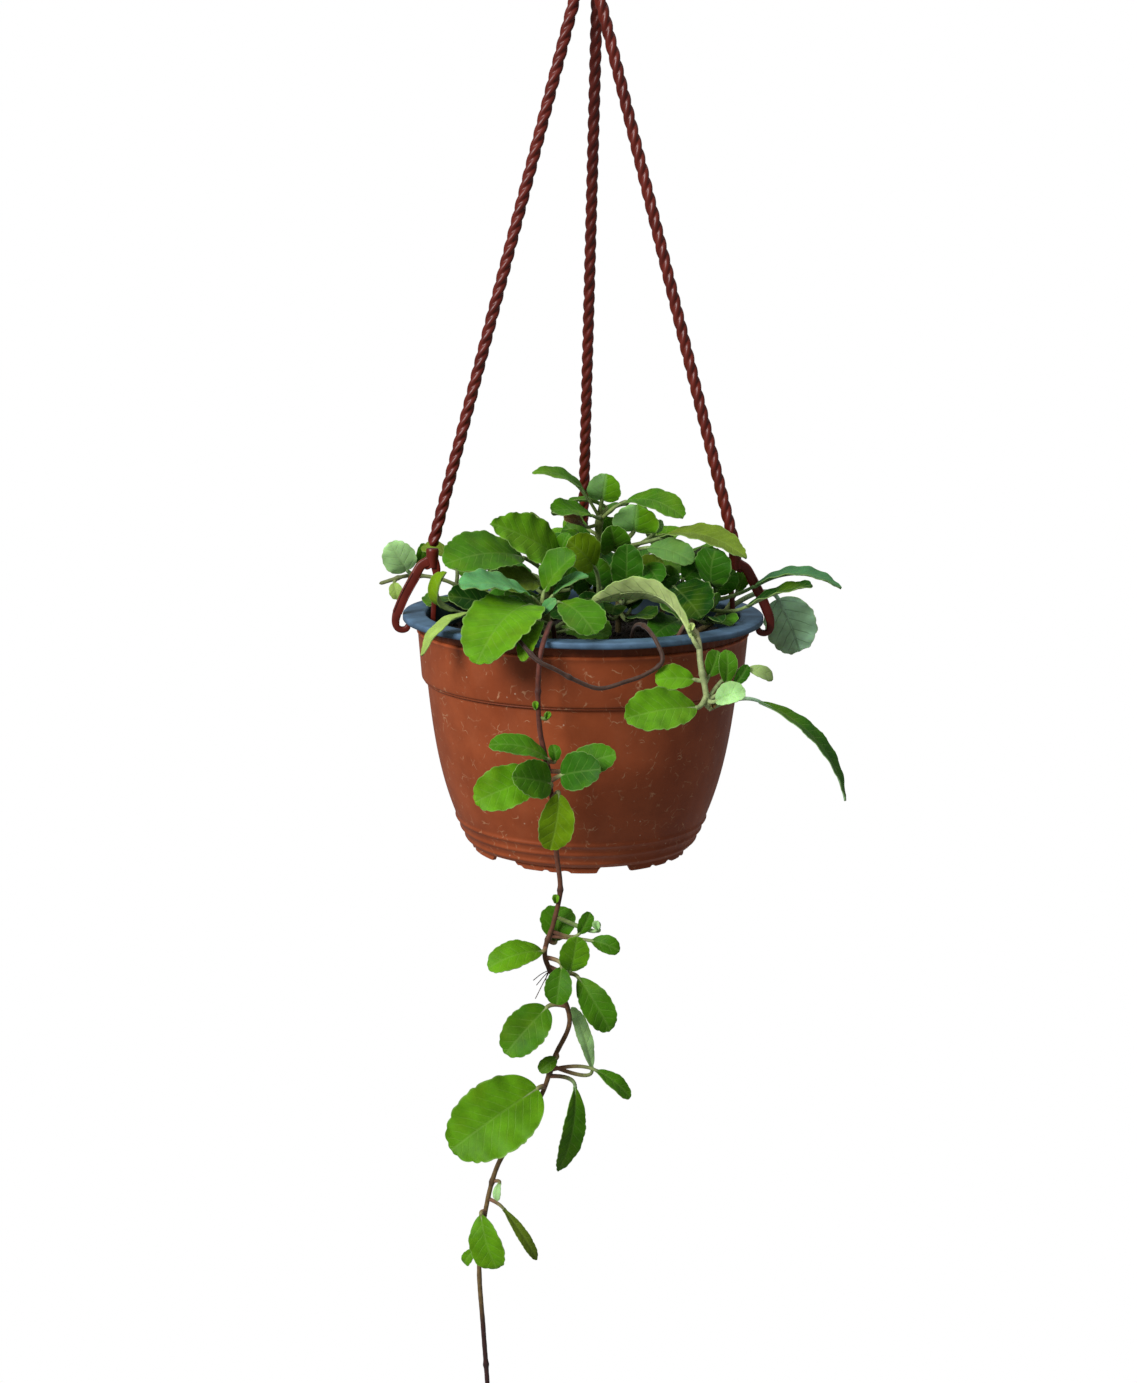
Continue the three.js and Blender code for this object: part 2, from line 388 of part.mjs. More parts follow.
// Each shoot or runner: its line from the soil to its end, the leaves that are nodes of their own,
// and the small or hidden leaves that are one body with it.
const SHOOTS = {
  shoot_tall: {
    line: [[6, 32, SOIL], [7, 25, 20], [8, 18, 50]],
    apart: {
      leaf_crest_long: leaf([2, 10, 58], [-26, -5, 72], 13,
        [0.2, -0.35, 0.9], { arch: 5, form: 'long', at: 0.96 }),
      leaf_crest_folded: leaf([9, 12, 57], [11, 5, 71], 17, [0, -1, 0.35], { cup: 0.2, form: 'round' }),
      leaf_crest_right: leaf([21, 7, 57], [49, -12, 51], 17, [0.15, -0.6, 0.8], { arch: 5, at: 0.92 }),
    },
    joined: [
      leaf([11, 21, 53], [-8, 17, 55], 13, [0, 0, 1], { at: 0.98 }),
      leaf([4, 4, 50], [-16, -10, 53], 17, [0, -0.45, 0.9], { at: 0.96 }),
      leaf([0, 12, 44], [-10, 2, 48], 10, [0, -0.7, 0.7], { at: 0.9 }),
      leaf([10, 26, 46], [22, 36, 52], 15, [0.2, 0.3, 0.9], { at: 0.86 }),
      leaf([0, 30, 42], [-16, 42, 46], 14, [-0.2, 0.4, 0.9], { at: 0.8 }),
      leaf([4, 12, 34], [-10, -2, 36], 19, [-0.1, -0.6, 0.8], { at: 0.66 }),
      leaf([11, 15, 31], [6, 1, 24], 15, [0, -0.8, 0.6], { at: 0.6 }),
      leaf([1, 20, 30], [-18, 15, 33], 17, [-0.1, -0.5, 0.85], { at: 0.55 }),
      leaf([14, 24, 26], [34, 22, 24], 19, [0.1, -0.3, 0.95], { at: 0.5 }),
      leaf([10, 25, 32], [16, 26, 46], 15, [0, -1, 0.1], { at: 0.6 }),
      leaf([2, 29, 31], [-9, 31, 42], 15, [0, -1, 0.2], { at: 0.55 }),
      leaf([3, 20, 10], [-5, 8, 22], 17, [0, -0.9, 0.45], { at: 0.3 }),
      leaf([12, 27, 3], [15, 22, 19], 17, [0, -1, 0.3], { at: 0.15 }),
    ],
  },
  shoot_middle: {
    line: [[18, 6, SOIL], [19, 3, 18], [21, 1, 38]],
    apart: {
      leaf_mid_folded: leaf([25, -1, 43], [26, -9, 57], 23, [0, -0.9, 0.4], { cup: 0.2, form: 'round' }),
      leaf_mid_arching: leaf([38, -4, 40], [78, -42, 35], 19,
        [0.2, -0.5, 0.85], { arch: 7, form: 'long', at: 0.93 }),
      leaf_mid_right: leaf([32, -11, 36], [53, -30, 31], 15, [0.1, -0.75, 0.65], { arch: 3, at: 0.86 }),
      leaf_mid_upright: leaf([21, -17, 13], [21, -23, 39], 16, [0, -1, 0.15], { at: 0.35 }),
    },
    joined: [
      leaf([15, -4, 34], [13, -14, 47], 16, [0, -0.85, 0.5], { cup: 0.4, form: 'round', at: 0.9 }),
      leaf([36, 5, 42], [39, 2, 48], 6, [0, -0.9, 0.4], { at: 0.86 }),
      leaf([30, -4, 20], [38, -12, 31], 15, [0.3, -0.8, 0.5], { at: 0.55 }),
      leaf([32, -2, 12], [48, -8, 22], 15, [0.1, -0.7, 0.7], { at: 0.3 }),
      leaf([9, -6, 15], [7, -14, 31], 14, [-0.2, -1, 0.2], { at: 0.45 }),
      leaf([27, 14, 26], [44, 26, 30], 14, [0.2, 0.3, 0.9], { at: 0.7 }),
      leaf([13, -7, 0], [-3, -17, 9], 16, [-0.1, -0.7, 0.7], { at: 0.2 }),
      leaf([24, -14, 0], [34, -36, 5], 15, [0.1, -0.7, 0.7], { at: 0.24 }),
      leaf([30, -10, 27], [37, -25, 20], 14, [0.1, -0.85, 0.5], { at: 0.6 }),
      leaf([16, -10, 6], [14, -25, 4], 12, [0, -0.8, 0.6], { at: 0.3 }),
      leaf([24, 5, 2], [26, 9, 14], 12, [0, -0.9, 0.4], { at: 0.15 }),
      leaf([30, 2, 22], [52, 2, 24], 17, [0.1, -0.5, 0.85], { at: 0.5 }),
    ],
  },
  shoot_left: {
    line: [[-16, 4, SOIL], [-17, 0, 10], [-16, -4, 27]],
    apart: {
      leaf_left_tall: leaf([-13, -7, 30], [-46, -28, 49], 27,
        [-0.15, -0.75, 0.65], { arch: 3, form: 'ovate', at: 0.88 }),
      leaf_left_broad: leaf([-30, -16, 31], [-67, -45, 31], 27, [-0.1, -0.72, 0.7], { arch: 5, at: 0.8 }),
    },
    joined: [
      leaf([-11, -2, 31], [-7, -7, 42], 9, [-0.3, -0.8, 0.4]),
      leaf([-22, -15, 19], [-42, -32, 19], 20, [-0.1, -0.7, 0.7], { at: 0.7 }),
      leaf([-6, -10, 16], [-12, -18, 30], 14, [0, -0.9, 0.4], { at: 0.6 }),
      leaf([-42, -22, 6], [-66, -36, 14], 17, [-0.1, -0.7, 0.7], { at: 0.4 }),
      leaf([-26, 4, 20], [-46, 8, 22], 15, [-0.2, 0, 1], { at: 0.7 }),
      leaf([-10, 12, 22], [-4, 28, 27], 12, [0, 0.3, 0.9], { at: 0.8 }),
      leaf([-22, -10, 10], [-36, -30, 8], 19, [-0.1, -0.75, 0.65], { at: 0.45 }),
      leaf([-26, 0, 6], [-50, -6, 4], 20, [-0.1, -0.4, 0.9], { at: 0.4 }),
      leaf([-13, -10, 5], [-9, -28, 2], 15, [0, -0.8, 0.6], { at: 0.3 }),
      leaf([-20, 3, 2], [-12, 17, 14], 16, [0, -1, 0.3], { at: 0.2 }),
      leaf([-24, 8, 12], [-38, 24, 14], 18, [-0.1, 0.1, 1], { at: 0.5 }),
    ],
  },
  shoot_front: {
    line: [[-14, -42, SOIL], [-17, -46, 2], [-20, -50, 13]],
    apart: {
      leaf_front_yellow: leaf([5, -25, 28], [-8, -35, 42], 19,
        [-0.1, -0.85, 0.5], { cup: 0.3, root: [4, -27, SOIL] }),
      leaf_front_folded: leaf([-19, -47, 19], [-4, -52, 37], 19, [-0.6, -0.6, 0.5], { cup: 0.45 }),
      leaf_front_blue: leaf([-25, -53, 17], [-58, -76, 25], 20, [-0.05, -0.4, 0.9], { arch: 4, at: 0.76 }),
      leaf_front_large: leaf([-26, -59, 14], [-49, -100, -7], 33,
        [-0.2, -0.75, 0.65], { arch: 8, form: 'round', at: 0.62 }),
      leaf_front_bright: leaf([-12, -62, 16], [5, -87, 5], 20,
        [0.2, -0.75, 0.6], { arch: 4, form: 'spoon', at: 0.7 }),
      leaf_front_upright: leaf([-15, -54, 18], [2, -58, 28], 12,
        [-0.1, -0.3, 0.95], { form: 'long', at: 0.9 }),
      leaf_rim_left_slim: leaf([-53, -58, 10], [-76, -75, -8], 10,
        [-0.5, -0.3, 0.8], { arch: 5, form: 'long', at: 0.38 }),
    },
    joined: [
      leaf([-20, -64, 7], [-28, -98, -6], 10, [-0.1, -0.5, 0.85], { arch: 5, at: 0.5 }),
      leaf([-10, -60, 4], [4, -76, 5], 11, [0.2, -0.7, 0.7], { at: 0.4 }),
      leaf([-19, -62, 11], [-13, -68, 18], 6, [-0.2, -0.8, 0.4], { at: 0.8 }),
      leaf([-28, -40, 8], [-44, -30, 12], 12, [-0.2, 0.1, 1], { at: 0.5 }),
      leaf([-8, -42, 4], [10, -50, 10], 15, [0.2, -0.7, 0.7], { at: 0.4 }),
      leaf([-8, -48, 0], [12, -64, 0], 17, [0.1, -0.6, 0.8], { at: 0.3 }),
      leaf([-20, -43, -4], [-40, -44, -4], 15, [-0.1, -0.5, 0.85], { at: 0.25 }),
    ],
  },
  shoot_right: {
    line: [[54, -8, SOIL], [56, -12, 2], [60, -16, 12]],
    apart: {
      leaf_right_curled: leaf([65, -22, 17], [64, -35, 39], 20, [-0.3, -0.8, 0.5],
        { arch: 5, cup: -0.2, form: 'spoon' }),
      leaf_right_round: leaf([45, -17, 17], [57, -45, 6], 27, [0, -0.8, 0.55], { form: 'round', at: 0.64 }),
      leaf_rim_right_long: leaf([84, -19, 18], [126, -30, 19], 18,
        [0, -0.1, 1], { arch: 7, form: 'long', at: 0.86 }),
      leaf_rim_right_dark: leaf([80, -26, 9], [110, -43, 22], 15, [0, -0.25, 1], { arch: 2, at: 0.75 }),
    },
    joined: [
      leaf([50, -8, 20], [61, -14, 31], 13, [0.2, -0.9, 0.4], { at: 0.97 }),
      leaf([66, -10, 13], [75, -13, 25], 11, [0.3, -0.8, 0.4], { at: 0.93 }),
      leaf([62, -30, 2], [66, -48, 5], 9, [0.1, -0.6, 0.8], { at: 0.5 }),
      leaf([62, -28, 8], [64, -36, 17], 7, [0.7, -0.6, 0.2], { at: 0.7 }),
      leaf([60, 2, 8], [66, 20, 8], 14, [0.2, 0.2, 0.95], { at: 0.8 }),
      leaf([48, -16, 0], [34, -40, -4], 17, [0, -0.7, 0.7], { at: 0.35 }),
      leaf([64, -20, 0], [72, -40, 2], 15, [0.1, -0.6, 0.8], { at: 0.45 }),
      leaf([50, 0, 10], [36, 8, 14], 16, [0, -0.4, 0.9], { at: 0.7 }),
    ],
  },
  shoot_rim_right: {
    line: [[58, 6, SOIL], [65, 2, -4], [72, 0, 3]],
    apart: {
      leaf_rim_right_round: leaf([100, 13, 7], [111, 7, -19], 27,
        [0.1, 0.9, 0.35], { arch: 4, form: 'round', at: 0.8 }),
    },
    joined: [leaf([78, 4, 12], [82, 6, 24], 8, [0.2, -0.9, 0.3])],
  },
  shoot_rim_left: {
    line: [[-48, 14, SOIL], [-64, 12, 12], [-87, 16, 17], [-105, 20, 12]],
    diameter: 2,
    apart: {
      leaf_rim_left_curl: leaf([-64, -16, 4], [-68, -20, 24], 14,
        [-0.9, -0.4, 0.1], { arch: 7, cup: 0.3, at: 0.16 }),
    },
    joined: [
      leaf([-90, 13, 20], [-98, 8, 35], 17, [-0.2, -0.85, 0.4], { form: 'round', at: 0.72 }),
      leaf([-85, 19, 21], [-82, 20, 33], 6, [0.3, -0.8, 0.3], { at: 0.68 }),
      leaf([-68, 16, 27], [-83, 18, 31], 10, [0, -0.5, 0.8], { at: 0.4 }),
      leaf([-97, 17, 13], [-95, 14, 5], 7, [0, -0.9, 0.3], { at: 0.85 }),
    ],
  },
};

Object.assign(SHOOTS, {
  plantlet_runner: {
    line: [[44, -40, SOIL], [48, -58, 4], [50, -72, 7], [53, -84, 2], [54, -89, -8], [56, -91, -18], [58, -91, -29]],
    diameter: 2.8,
    apart: {
      plantlet_leaf_arching: leaf([50, -87, 4], [2, -64, 15], 19, [0.2, 0.5, 0.85],
        { arch: 15, form: 'long', roll: 10, at: 0.66 }),
      plantlet_leaf_upper: leaf([51, -91, -15], [33, -95, -15], 13, [-0.1, -0.8, 0.6], { at: 0.84 }),
      plantlet_leaf_broad: leaf([52, -97, -27], [19, -114, -29], 22,
        [-0.1, -0.8, 0.6], { arch: 3, at: 0.92 }),
      plantlet_leaf_trailing: leaf([82, -86, -26], [124, -84, -74], 14,
        [0.6, -0.35, 0.7], { arch: 9, form: 'long' }),
    },
    joined: [
      leaf([58, -88, -14], [62, -83, -3], 10, [0.2, -0.9, 0.3], { at: 0.86 }),
      leaf([66, -89, -17], [66, -86, -2], 9, [0.2, -1, 0.1], { at: 0.95 }),
      leaf([70, -87, -18], [76, -86, -9], 6, [0.2, -0.9, 0.3], { at: 0.97 }),
      leaf([76, -84, -11], [88, -84, -16], 7, [0, -0.7, 0.7], { at: 0.95 }),
      leaf([61, -96, -24], [74, -101, -19], 11, [0.1, -0.8, 0.6], { cup: 0.5, at: 0.95 }),
    ],
  },
  trailing_runner: {
    line: [[-13, -56, SOIL], [-15, -70, 7], [-17, -86, 6.5], [-20, -97, -3], [-21, -98, -20], [-20, -98, -38],
      [-17, -98, -53], [-13, -98, -80], [-12, -98, -96], [-10, -98, -115], [-13, -98, -131], [-17, -98, -147],
      [-10, -98, -163], [-5, -98, -180], [-12, -98, -198], [-18, -98, -217], [-29, -98, -236], [-39, -97, -254],
      [-45, -97, -278], [-48, -97, -305], [-46, -97, -341], [-44, -97, -370], [-43, -97, -392]],
    apart: {
      runner_leaf_upper_left: leaf([-16, -101, -51], [-43, -110, -43], 13,
        [-0.1, -0.55, 0.8], { arch: 4, at: 0.232 }),
      runner_leaf_left: leaf([-19, -103, -59], [-49, -116, -68], 21,
        [-0.1, -0.85, 0.5], { arch: 3, at: 0.243 }),
      runner_leaf_front: leaf([-15, -104, -62], [-32, -120, -55], 18,
        [-0.2, -0.9, 0.4], { form: 'round', at: 0.256 }),
      runner_leaf_right: leaf([-10, -104, -58], [8, -116, -52], 18,
        [0.1, -0.9, 0.4], { form: 'round', at: 0.25 }),
      runner_leaf_hanging: leaf([-11, -103, -67], [-15, -112, -91], 17,
        [0.3, -0.9, 0.2], { arch: 3, at: 0.268 }),
      trail_leaf_left: leaf([-18, -101, -144], [-43, -112, -149], 15,
        [-0.1, -0.65, 0.75], { arch: 4, at: 0.428 }),
      trail_leaf_right: leaf([-1, -101, -157], [14, -109, -180], 15,
        [0.2, -0.9, 0.3], { arch: 3, at: 0.462 }),
      trail_leaf_round: leaf([-16, -101, -172], [-35, -112, -191], 20,
        [-0.2, -0.9, 0.4], { form: 'round', at: 0.498 }),
      trail_leaf_large: leaf([-20, -103, -212], [-60, -122, -235], 35,
        [-0.2, -0.9, 0.4], { arch: 4, form: 'round', at: 0.592 }),
      trail_leaf_slender: leaf([-2, -98, -213], [-10, -101, -255], 13,
        [0.5, -0.8, 0.1], { arch: 5, form: 'long', at: 0.58 }),
      trail_leaf_low: leaf([-47, -101, -278], [-39, -107, -303], 17,
        [-0.3, -0.9, 0.2], { arch: 3, at: 0.75 }),
    },
    joined: [
      leaf([-13, -97, -53], [-14, -95, -46], 6, [0.2, -0.9, 0.2], { at: 0.226 }),
      leaf([-6, -97, -57], [15, -103, -48], 15, [0.1, -0.85, 0.5], { form: 'round', at: 0.238 }),
      leaf([-12, -95, -141], [-11, -88, -126], 17, [0.1, -0.9, 0.3], { at: 0.42 }),
      leaf([-5, -103, -153], [-2, -109, -134], 14, [0.1, -0.9, 0.3], { at: 0.45 }),
      leaf([-9, -103, -151], [-11, -110, -167], 13, [-0.1, -0.9, 0.4], { at: 0.44 }),
      leaf([-1, -96, -137], [4, -94, -127], 7, [0.2, -0.9, 0.2], { at: 0.41 }),
      leaf([5, -97, -140], [18, -100, -144], 9, [0.1, -0.8, 0.6], { at: 0.416 }),
      leaf([-11, -102, -197], [-19, -106, -202], 7, [-0.1, -0.9, 0.4], { at: 0.553 }),
      leaf([6, -95, -205], [-4, -92, -175], 8, [0.6, -0.8, 0.1], { at: 0.568 }),
      leaf([8, -97, -205], [24, -99, -218], 9, [0.2, -0.5, 0.8], { at: 0.573 }),
      leaf([-38, -100, -262], [-39, -102, -270], 4, [-0.3, -0.9, 0.2], { at: 0.715 }),
      leaf([-36, -99, -276], [-20, -96, -304], 6, [0.6, -0.8, 0.1], { at: 0.735 }),
      leaf([-50, -95, -299], [-55, -93, -308], 6, [-0.4, -0.8, 0.3], { at: 0.79 }),
    ],
  },
  loop_runner: {
    line: [[-30, -50, SOIL], [-33, -68, 8], [-33, -84, 5], [-30, -93, 3], [-21, -101, -5], [-13, -101, -9],
      [-4, -100, -14], [7, -99, -18], [19, -98, -15], [28, -96, -12], [36, -94, -6], [33, -90, 3],
      [28, -80, 8], [24, -66, 5], [22, -54, SOIL]],
    diameter: 2,
    apart: {},
    joined: [],
  },
});

const BACK_SHOOTS = {
  shoot_back_left: { top: [-52, 34, 10], start: 40, pairs: 3, reach: 36 },
  shoot_back: { top: [-14, 56, 24], start: 6, pairs: 3, reach: 42 },
  shoot_back_right: { top: [42, 46, 18], start: 76, pairs: 3, reach: 40 },
};
for (const [name, { top, start, pairs, reach }] of Object.entries(BACK_SHOOTS)) {
  const line = [[top[0], top[1], SOIL], [top[0] + 1, top[1], top[2] / 2], top];
  SHOOTS[name] = { line, apart: {}, joined: whorl(top, start, pairs, reach) };
}

function shootStem(shoot, extra = 0) {
  const diameter = (shoot.diameter ?? (shoot.line.length > 6 ? RUNNER_DIAMETER : SHOOT_DIAMETER)) + extra;
  const points = shoot.line.map((point) => place(point).toArray());
  return tube(points, diameter, 6, Math.min(80, Math.ceil(shoot.curve.getLength() / 8)));
}

// The shoot with its joined leaves, then each leaf of its own, cut back to clear the shoot by GAP.
function shootNodes(name) {
  const shoot = SHOOTS[name];
  shoot.curve = new THREE.CatmullRomCurve3(shoot.line.map(place), false, 'centripetal');
  const small = shoot.joined.map((row) => leafSolid(row, shoot, SMALL_BLADE_STATIONS));
  const whole = joined([shootStem(shoot), ...small]);
  const nodes = [node(name, whole, shoot.joined.length ? COLOURS.shoot : COLOURS.runner)];
  const clearance = shootStem(shoot, GAP * 2);
  for (const [leafName, row] of Object.entries(shoot.apart)) {
    nodes.push(node(leafName, leafSolid(row, shoot, BLADE_STATIONS).subtract(clearance), COLOURS.leaf, 0.5));
  }
  return nodes;
}

// ---- the assembly ----------------------------------------------------------------------------------

const hangingPlant = new THREE.Group();
hangingPlant.position.z = -RIM_DROP;
hangingPlant.add(
  node('outer_pot', outerPot(), COLOURS.terracotta, 0.5),
  node('inner_pot', innerPot(), COLOURS.slate, 0.5),
  node('potting_soil', pottingSoil(), COLOURS.soil, 0.95),
  node('hanger_hook', hangerHook(), COLOURS.hanger, 0.4),
);
for (const side of Object.keys(STRAND_ANGLES)) {
  hangingPlant.add(node(`hanger_strand_${side}`, strand(side), COLOURS.hanger, 0.4));
  hangingPlant.add(node(`rim_clip_${side}`, rimClip(side), COLOURS.hanger, 0.4));
}
for (const name of Object.keys(SHOOTS)) hangingPlant.add(...shootNodes(name));

export default hangingPlant;
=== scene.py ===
"""A trailing alsobia in its plastic hanging pot: terracotta outer pot, slate liner, potting mix,
three twisted strands that clip to the rim and meet under a hook, and the plant itself.
The meshes are made in millimetres with z = 0 at the rim's middle height, and settle() puts them
into the frame, in metres, where the origin is the top of the hook's inside."""
import math
import random
from types import SimpleNamespace

import bpy
from bpy.props import FloatProperty, FloatVectorProperty, IntProperty, PointerProperty
from mathutils import Matrix, Vector, noise


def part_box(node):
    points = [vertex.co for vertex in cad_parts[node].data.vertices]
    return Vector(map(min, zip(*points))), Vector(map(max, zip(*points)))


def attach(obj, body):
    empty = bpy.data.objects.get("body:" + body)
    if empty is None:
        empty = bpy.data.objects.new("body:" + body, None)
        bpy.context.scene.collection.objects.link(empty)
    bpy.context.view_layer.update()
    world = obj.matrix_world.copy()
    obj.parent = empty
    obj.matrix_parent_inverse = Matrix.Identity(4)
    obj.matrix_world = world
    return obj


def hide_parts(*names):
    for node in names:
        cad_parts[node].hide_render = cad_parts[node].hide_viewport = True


bl_info = {
    "name": "Alsobia in a hanging pot",
    "version": (1, 0, 0),
    "blender": (4, 5, 0),
    "location": "View3D > Sidebar > Hanging plant",
    "description": "Makes a trailing alsobia, its two-layer pot and its twisted hanger round the CAD frame",
    "category": "Object",
}

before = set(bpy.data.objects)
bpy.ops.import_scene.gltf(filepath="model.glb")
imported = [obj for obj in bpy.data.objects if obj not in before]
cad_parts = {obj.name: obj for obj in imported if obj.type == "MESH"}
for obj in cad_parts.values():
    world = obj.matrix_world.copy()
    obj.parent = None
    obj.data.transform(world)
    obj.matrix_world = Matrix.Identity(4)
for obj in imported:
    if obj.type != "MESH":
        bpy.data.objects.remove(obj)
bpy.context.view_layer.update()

MM = 0.001
RIM_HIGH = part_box("inner_pot")[1]
POT_LOW, POT_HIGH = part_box("outer_pot")
RIM_TOP = 1.5                      # of the flange, above the rim's middle height
RIM_DROP = RIM_TOP - RIM_HIGH.z / MM   # from the hanging point down to the rim's middle height
GROWN_RADIUS = 91                  # of the rim that the plant's places below were chosen for
SPREAD = RIM_HIGH.x / MM / GROWN_RADIUS
FLANGE_WIDTH = 7.6                 # how far the flange stands out past the collar
FLANGE_LIP = 2.9                   # height of its turned-down edge


# ---- settings ------------------------------------------------------------------------------------

def length(name, description, millimetres):
    """A length that the sidebar shows in the scene's unit."""
    return FloatProperty(name=name, description=description, default=millimetres * MM, min=0,
                         unit="LENGTH", precision=4)


def paint(name, description, code):
    """A colour given as its sRGB hex value."""
    return FloatVectorProperty(name=name, description=description, default=linear(code)[:3], size=3,
                               min=0, max=1, subtype="COLOR")


def linear(code):
    """Turns an sRGB hex value into linear red, green, blue and alpha."""
    channels = [(code >> shift & 255) / 255 for shift in (16, 8, 0)]
    return (*(c / 12.92 if c <= 0.04045 else ((c + 0.055) / 1.055) ** 2.4 for c in channels), 1.0)


class PotSizes(bpy.types.PropertyGroup):
    """The two pots and the soil."""
    rim_radius: length("Rim radius", "Outside of the liner's flange", RIM_HIGH.x / MM)
    pot_height: length("Pot height", "Outer pot from its top edge to its feet", (POT_HIGH.z - POT_LOW.z) / MM)
    collar_radius: length("Collar radius", "Plain band under the rim", RIM_HIGH.x / MM - FLANGE_WIDTH)
    collar_height: length("Collar height", "From the lip line down to the step", 24)
    base_radius: length("Base radius", "Skirt that the pot stands on", 56)
    pot_wall: length("Pot wall", "Thickness of the outer pot", 2)
    liner_wall: length("Liner wall", "Thickness of the liner", 1.2)
    rib_pitch: length("Rib pitch", "Between two turned ribs near the base", 5.2)
    soil_depth: length("Soil depth", "Soil surface below the rim", 11)
    terracotta: paint("Terracotta", "Outer pot's moulded colour", 0x9A4A28)
    slate: paint("Slate", "Liner's moulded colour", 0x5A7894)


class HangerSizes(bpy.types.PropertyGroup):
    """Hook, hub, strands and clips."""
    strand_diameter: length("Strand diameter", "Over the twisted plies", 6)
    ply_pitch: length("Ply pitch", "Length of one whole turn of the plies", 21)
    hook_rod: length("Hook rod", "Thickness of the hook", 5)
    hook_radius: length("Hook radius", "Inside of the hook", 9)
    clip_thickness: length("Clip thickness", "Of the rim clips", 4.4)
    plies: IntProperty(name="Plies", description="Plies in a strand", default=3, min=2, max=6)
    red_brown: paint("Red-brown", "Hanger's moulded colour", 0x6A2015)


class PlantLooks(bpy.types.PropertyGroup):
    """Leaves and shoots."""
    tooth: length("Tooth", "Spacing of the rounded teeth along a leaf's edge", 3.6)
    vein: length("Vein spacing", "Between two side veins", 4.4)
    thickness: length("Leaf thickness", "Of a blade at its middle", 1.0)
    fuzz: FloatProperty(name="Fuzz", description="Sheen of the fine hairs", default=0.04, min=0, max=1,
                        subtype="FACTOR")


class StudioLights(bpy.types.PropertyGroup):
    """Soft studio light."""
    sky: FloatProperty(name="Sky", description="Even light from all round", default=0.21, min=0)
    key: FloatProperty(name="Key", description="Large soft light from the left", default=47, min=0,
                       unit="POWER")
    top: FloatProperty(name="Top", description="Soft light from above", default=8, min=0, unit="POWER")


def in_mm(group):
    """A group's lengths in millimetres, and its other settings as they are."""
    values = {}
    for key in type(group).__annotations__:
        value = getattr(group, key)
        values[key] = value / MM if group.bl_rna.properties[key].unit == "LENGTH" else value
    return SimpleNamespace(**values)


# ---- meshes --------------------------------------------------------------------------------------

class Skin:
    """Points, faces and what the finishes need to know of them, in millimetres."""

    def __init__(self):
        self.points, self.faces, self.marks, self.tints, self.places = [], [], [], [], []

    def add(self, points, faces, mark=0, tints=None, places=None):
        """Adds a closed body. mark picks its finish, and a tint and a place go with each point."""
        first = len(self.points)
        self.points += points
        self.faces += [tuple(first + i for i in face) for face in faces]
        self.marks += mark if isinstance(mark, list) else [mark] * len(faces)
        self.tints += tints or [(1, 1, 1, 1)] * len(points)
        self.places += places or [(0, 0, 0)] * len(points)


def link(name, data):
    """A new object in the scene."""
    piece = bpy.data.objects.new(name, data)
    bpy.context.scene.collection.objects.link(piece)
    return piece


def in_frame(name, skin):
    """A mesh in the frame's metres."""
    mesh = bpy.data.meshes.new(name)
    mesh.from_pydata([(x * MM, y * MM, (z - RIM_DROP) * MM) for x, y, z in skin.points], [], skin.faces)
    return mesh


def settle(name, skin, finishes, nodes, crease):
    """Makes the object in the frame, on the root body, standing for its CAD nodes. Edges that turn
    by more than `crease` degrees stay sharp."""
    mesh = in_frame(name, skin)
    for finish in finishes:
        mesh.materials.append(finish)
    mesh.polygons.foreach_set("material_index", skin.marks)
    mesh.polygons.foreach_set("use_smooth", [True] * len(mesh.polygons))
    mesh.set_sharp_from_angle(angle=math.radians(crease))
    tint = mesh.attributes.new("tint", "FLOAT_COLOR", "POINT")
    tint.data.foreach_set("color", [c for colour in skin.tints for c in colour])
    place = mesh.attributes.new("blade", "FLOAT_VECTOR", "POINT")
    place.data.foreach_set("vector", [c for point in skin.places for c in point])
    mesh.validate()
    mesh.update()
    piece = link(name, mesh)
    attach(piece, "root")
    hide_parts(*nodes)
    return piece


def grid_faces(rows, columns, closed_across=True, closed_along=False):
    """Quads between rows of points; closed_across joins each row's ends, closed_along the rows'."""
    faces = []
    for i in range(rows if closed_along else rows - 1):
        below = (i + 1) % rows
        for j in range(columns if closed_across else columns - 1):
            k = (j + 1) % columns
            faces.append((i * columns + j, i * columns + k, below * columns + k, below * columns + j))
    return faces


def polar(radius, angle, z=0.0):
    """A point round the pot's axis."""
    return Vector((radius * math.cos(angle), radius * math.sin(angle), z))


def turned(skin, profile, around, shape=None):
    """A body turned about the pot's axis from a closed profile, listed down its outside.
    shape(angle, radius, z) may move a point."""
    points = []
    for radius, z in profile:
        for j in range(around):
            angle = 2 * math.pi * j / around
            radius_here, z_here = shape(angle, radius, z) if shape else (radius, z)
            points.append(polar(radius_here, angle, z_here))
    skin.add(points, [face[::-1] for face in grid_faces(len(profile), around, closed_along=True)])


def smooth_route(points, step):
    """Points about a step apart on one smooth curve through the given ones."""
    ends = [2 * points[0] - points[1], *points, 2 * points[-1] - points[-2]]
    route = []
    for before, start, end, after in zip(ends, ends[1:], ends[2:], ends[3:]):
        steps = ((before, start), (start, end), (end, after))
        d0, d1, d2 = (math.sqrt((b - a).length) for a, b in steps)
        leave = ((start - before) / d0 - (end - before) / (d0 + d1) + (end - start) / d1) * d1
        arrive = ((end - start) / d1 - (after - start) / (d1 + d2) + (after - end) / d2) * d1
        count = max(2, round((end - start).length / step))
        for i in range(count):
            t = i / count
            route.append(start * (2 * t ** 3 - 3 * t ** 2 + 1) + leave * (t ** 3 - 2 * t ** 2 + t)
                         + end * (3 * t ** 2 - 2 * t ** 3) + arrive * (t ** 3 - t ** 2))
    return [*route, points[-1]]


def distances(route):
    """How far along the route each of its points lies."""
    far = [0.0]
    for a, b in zip(route, route[1:]):
        far.append(far[-1] + (b - a).length)
    return far


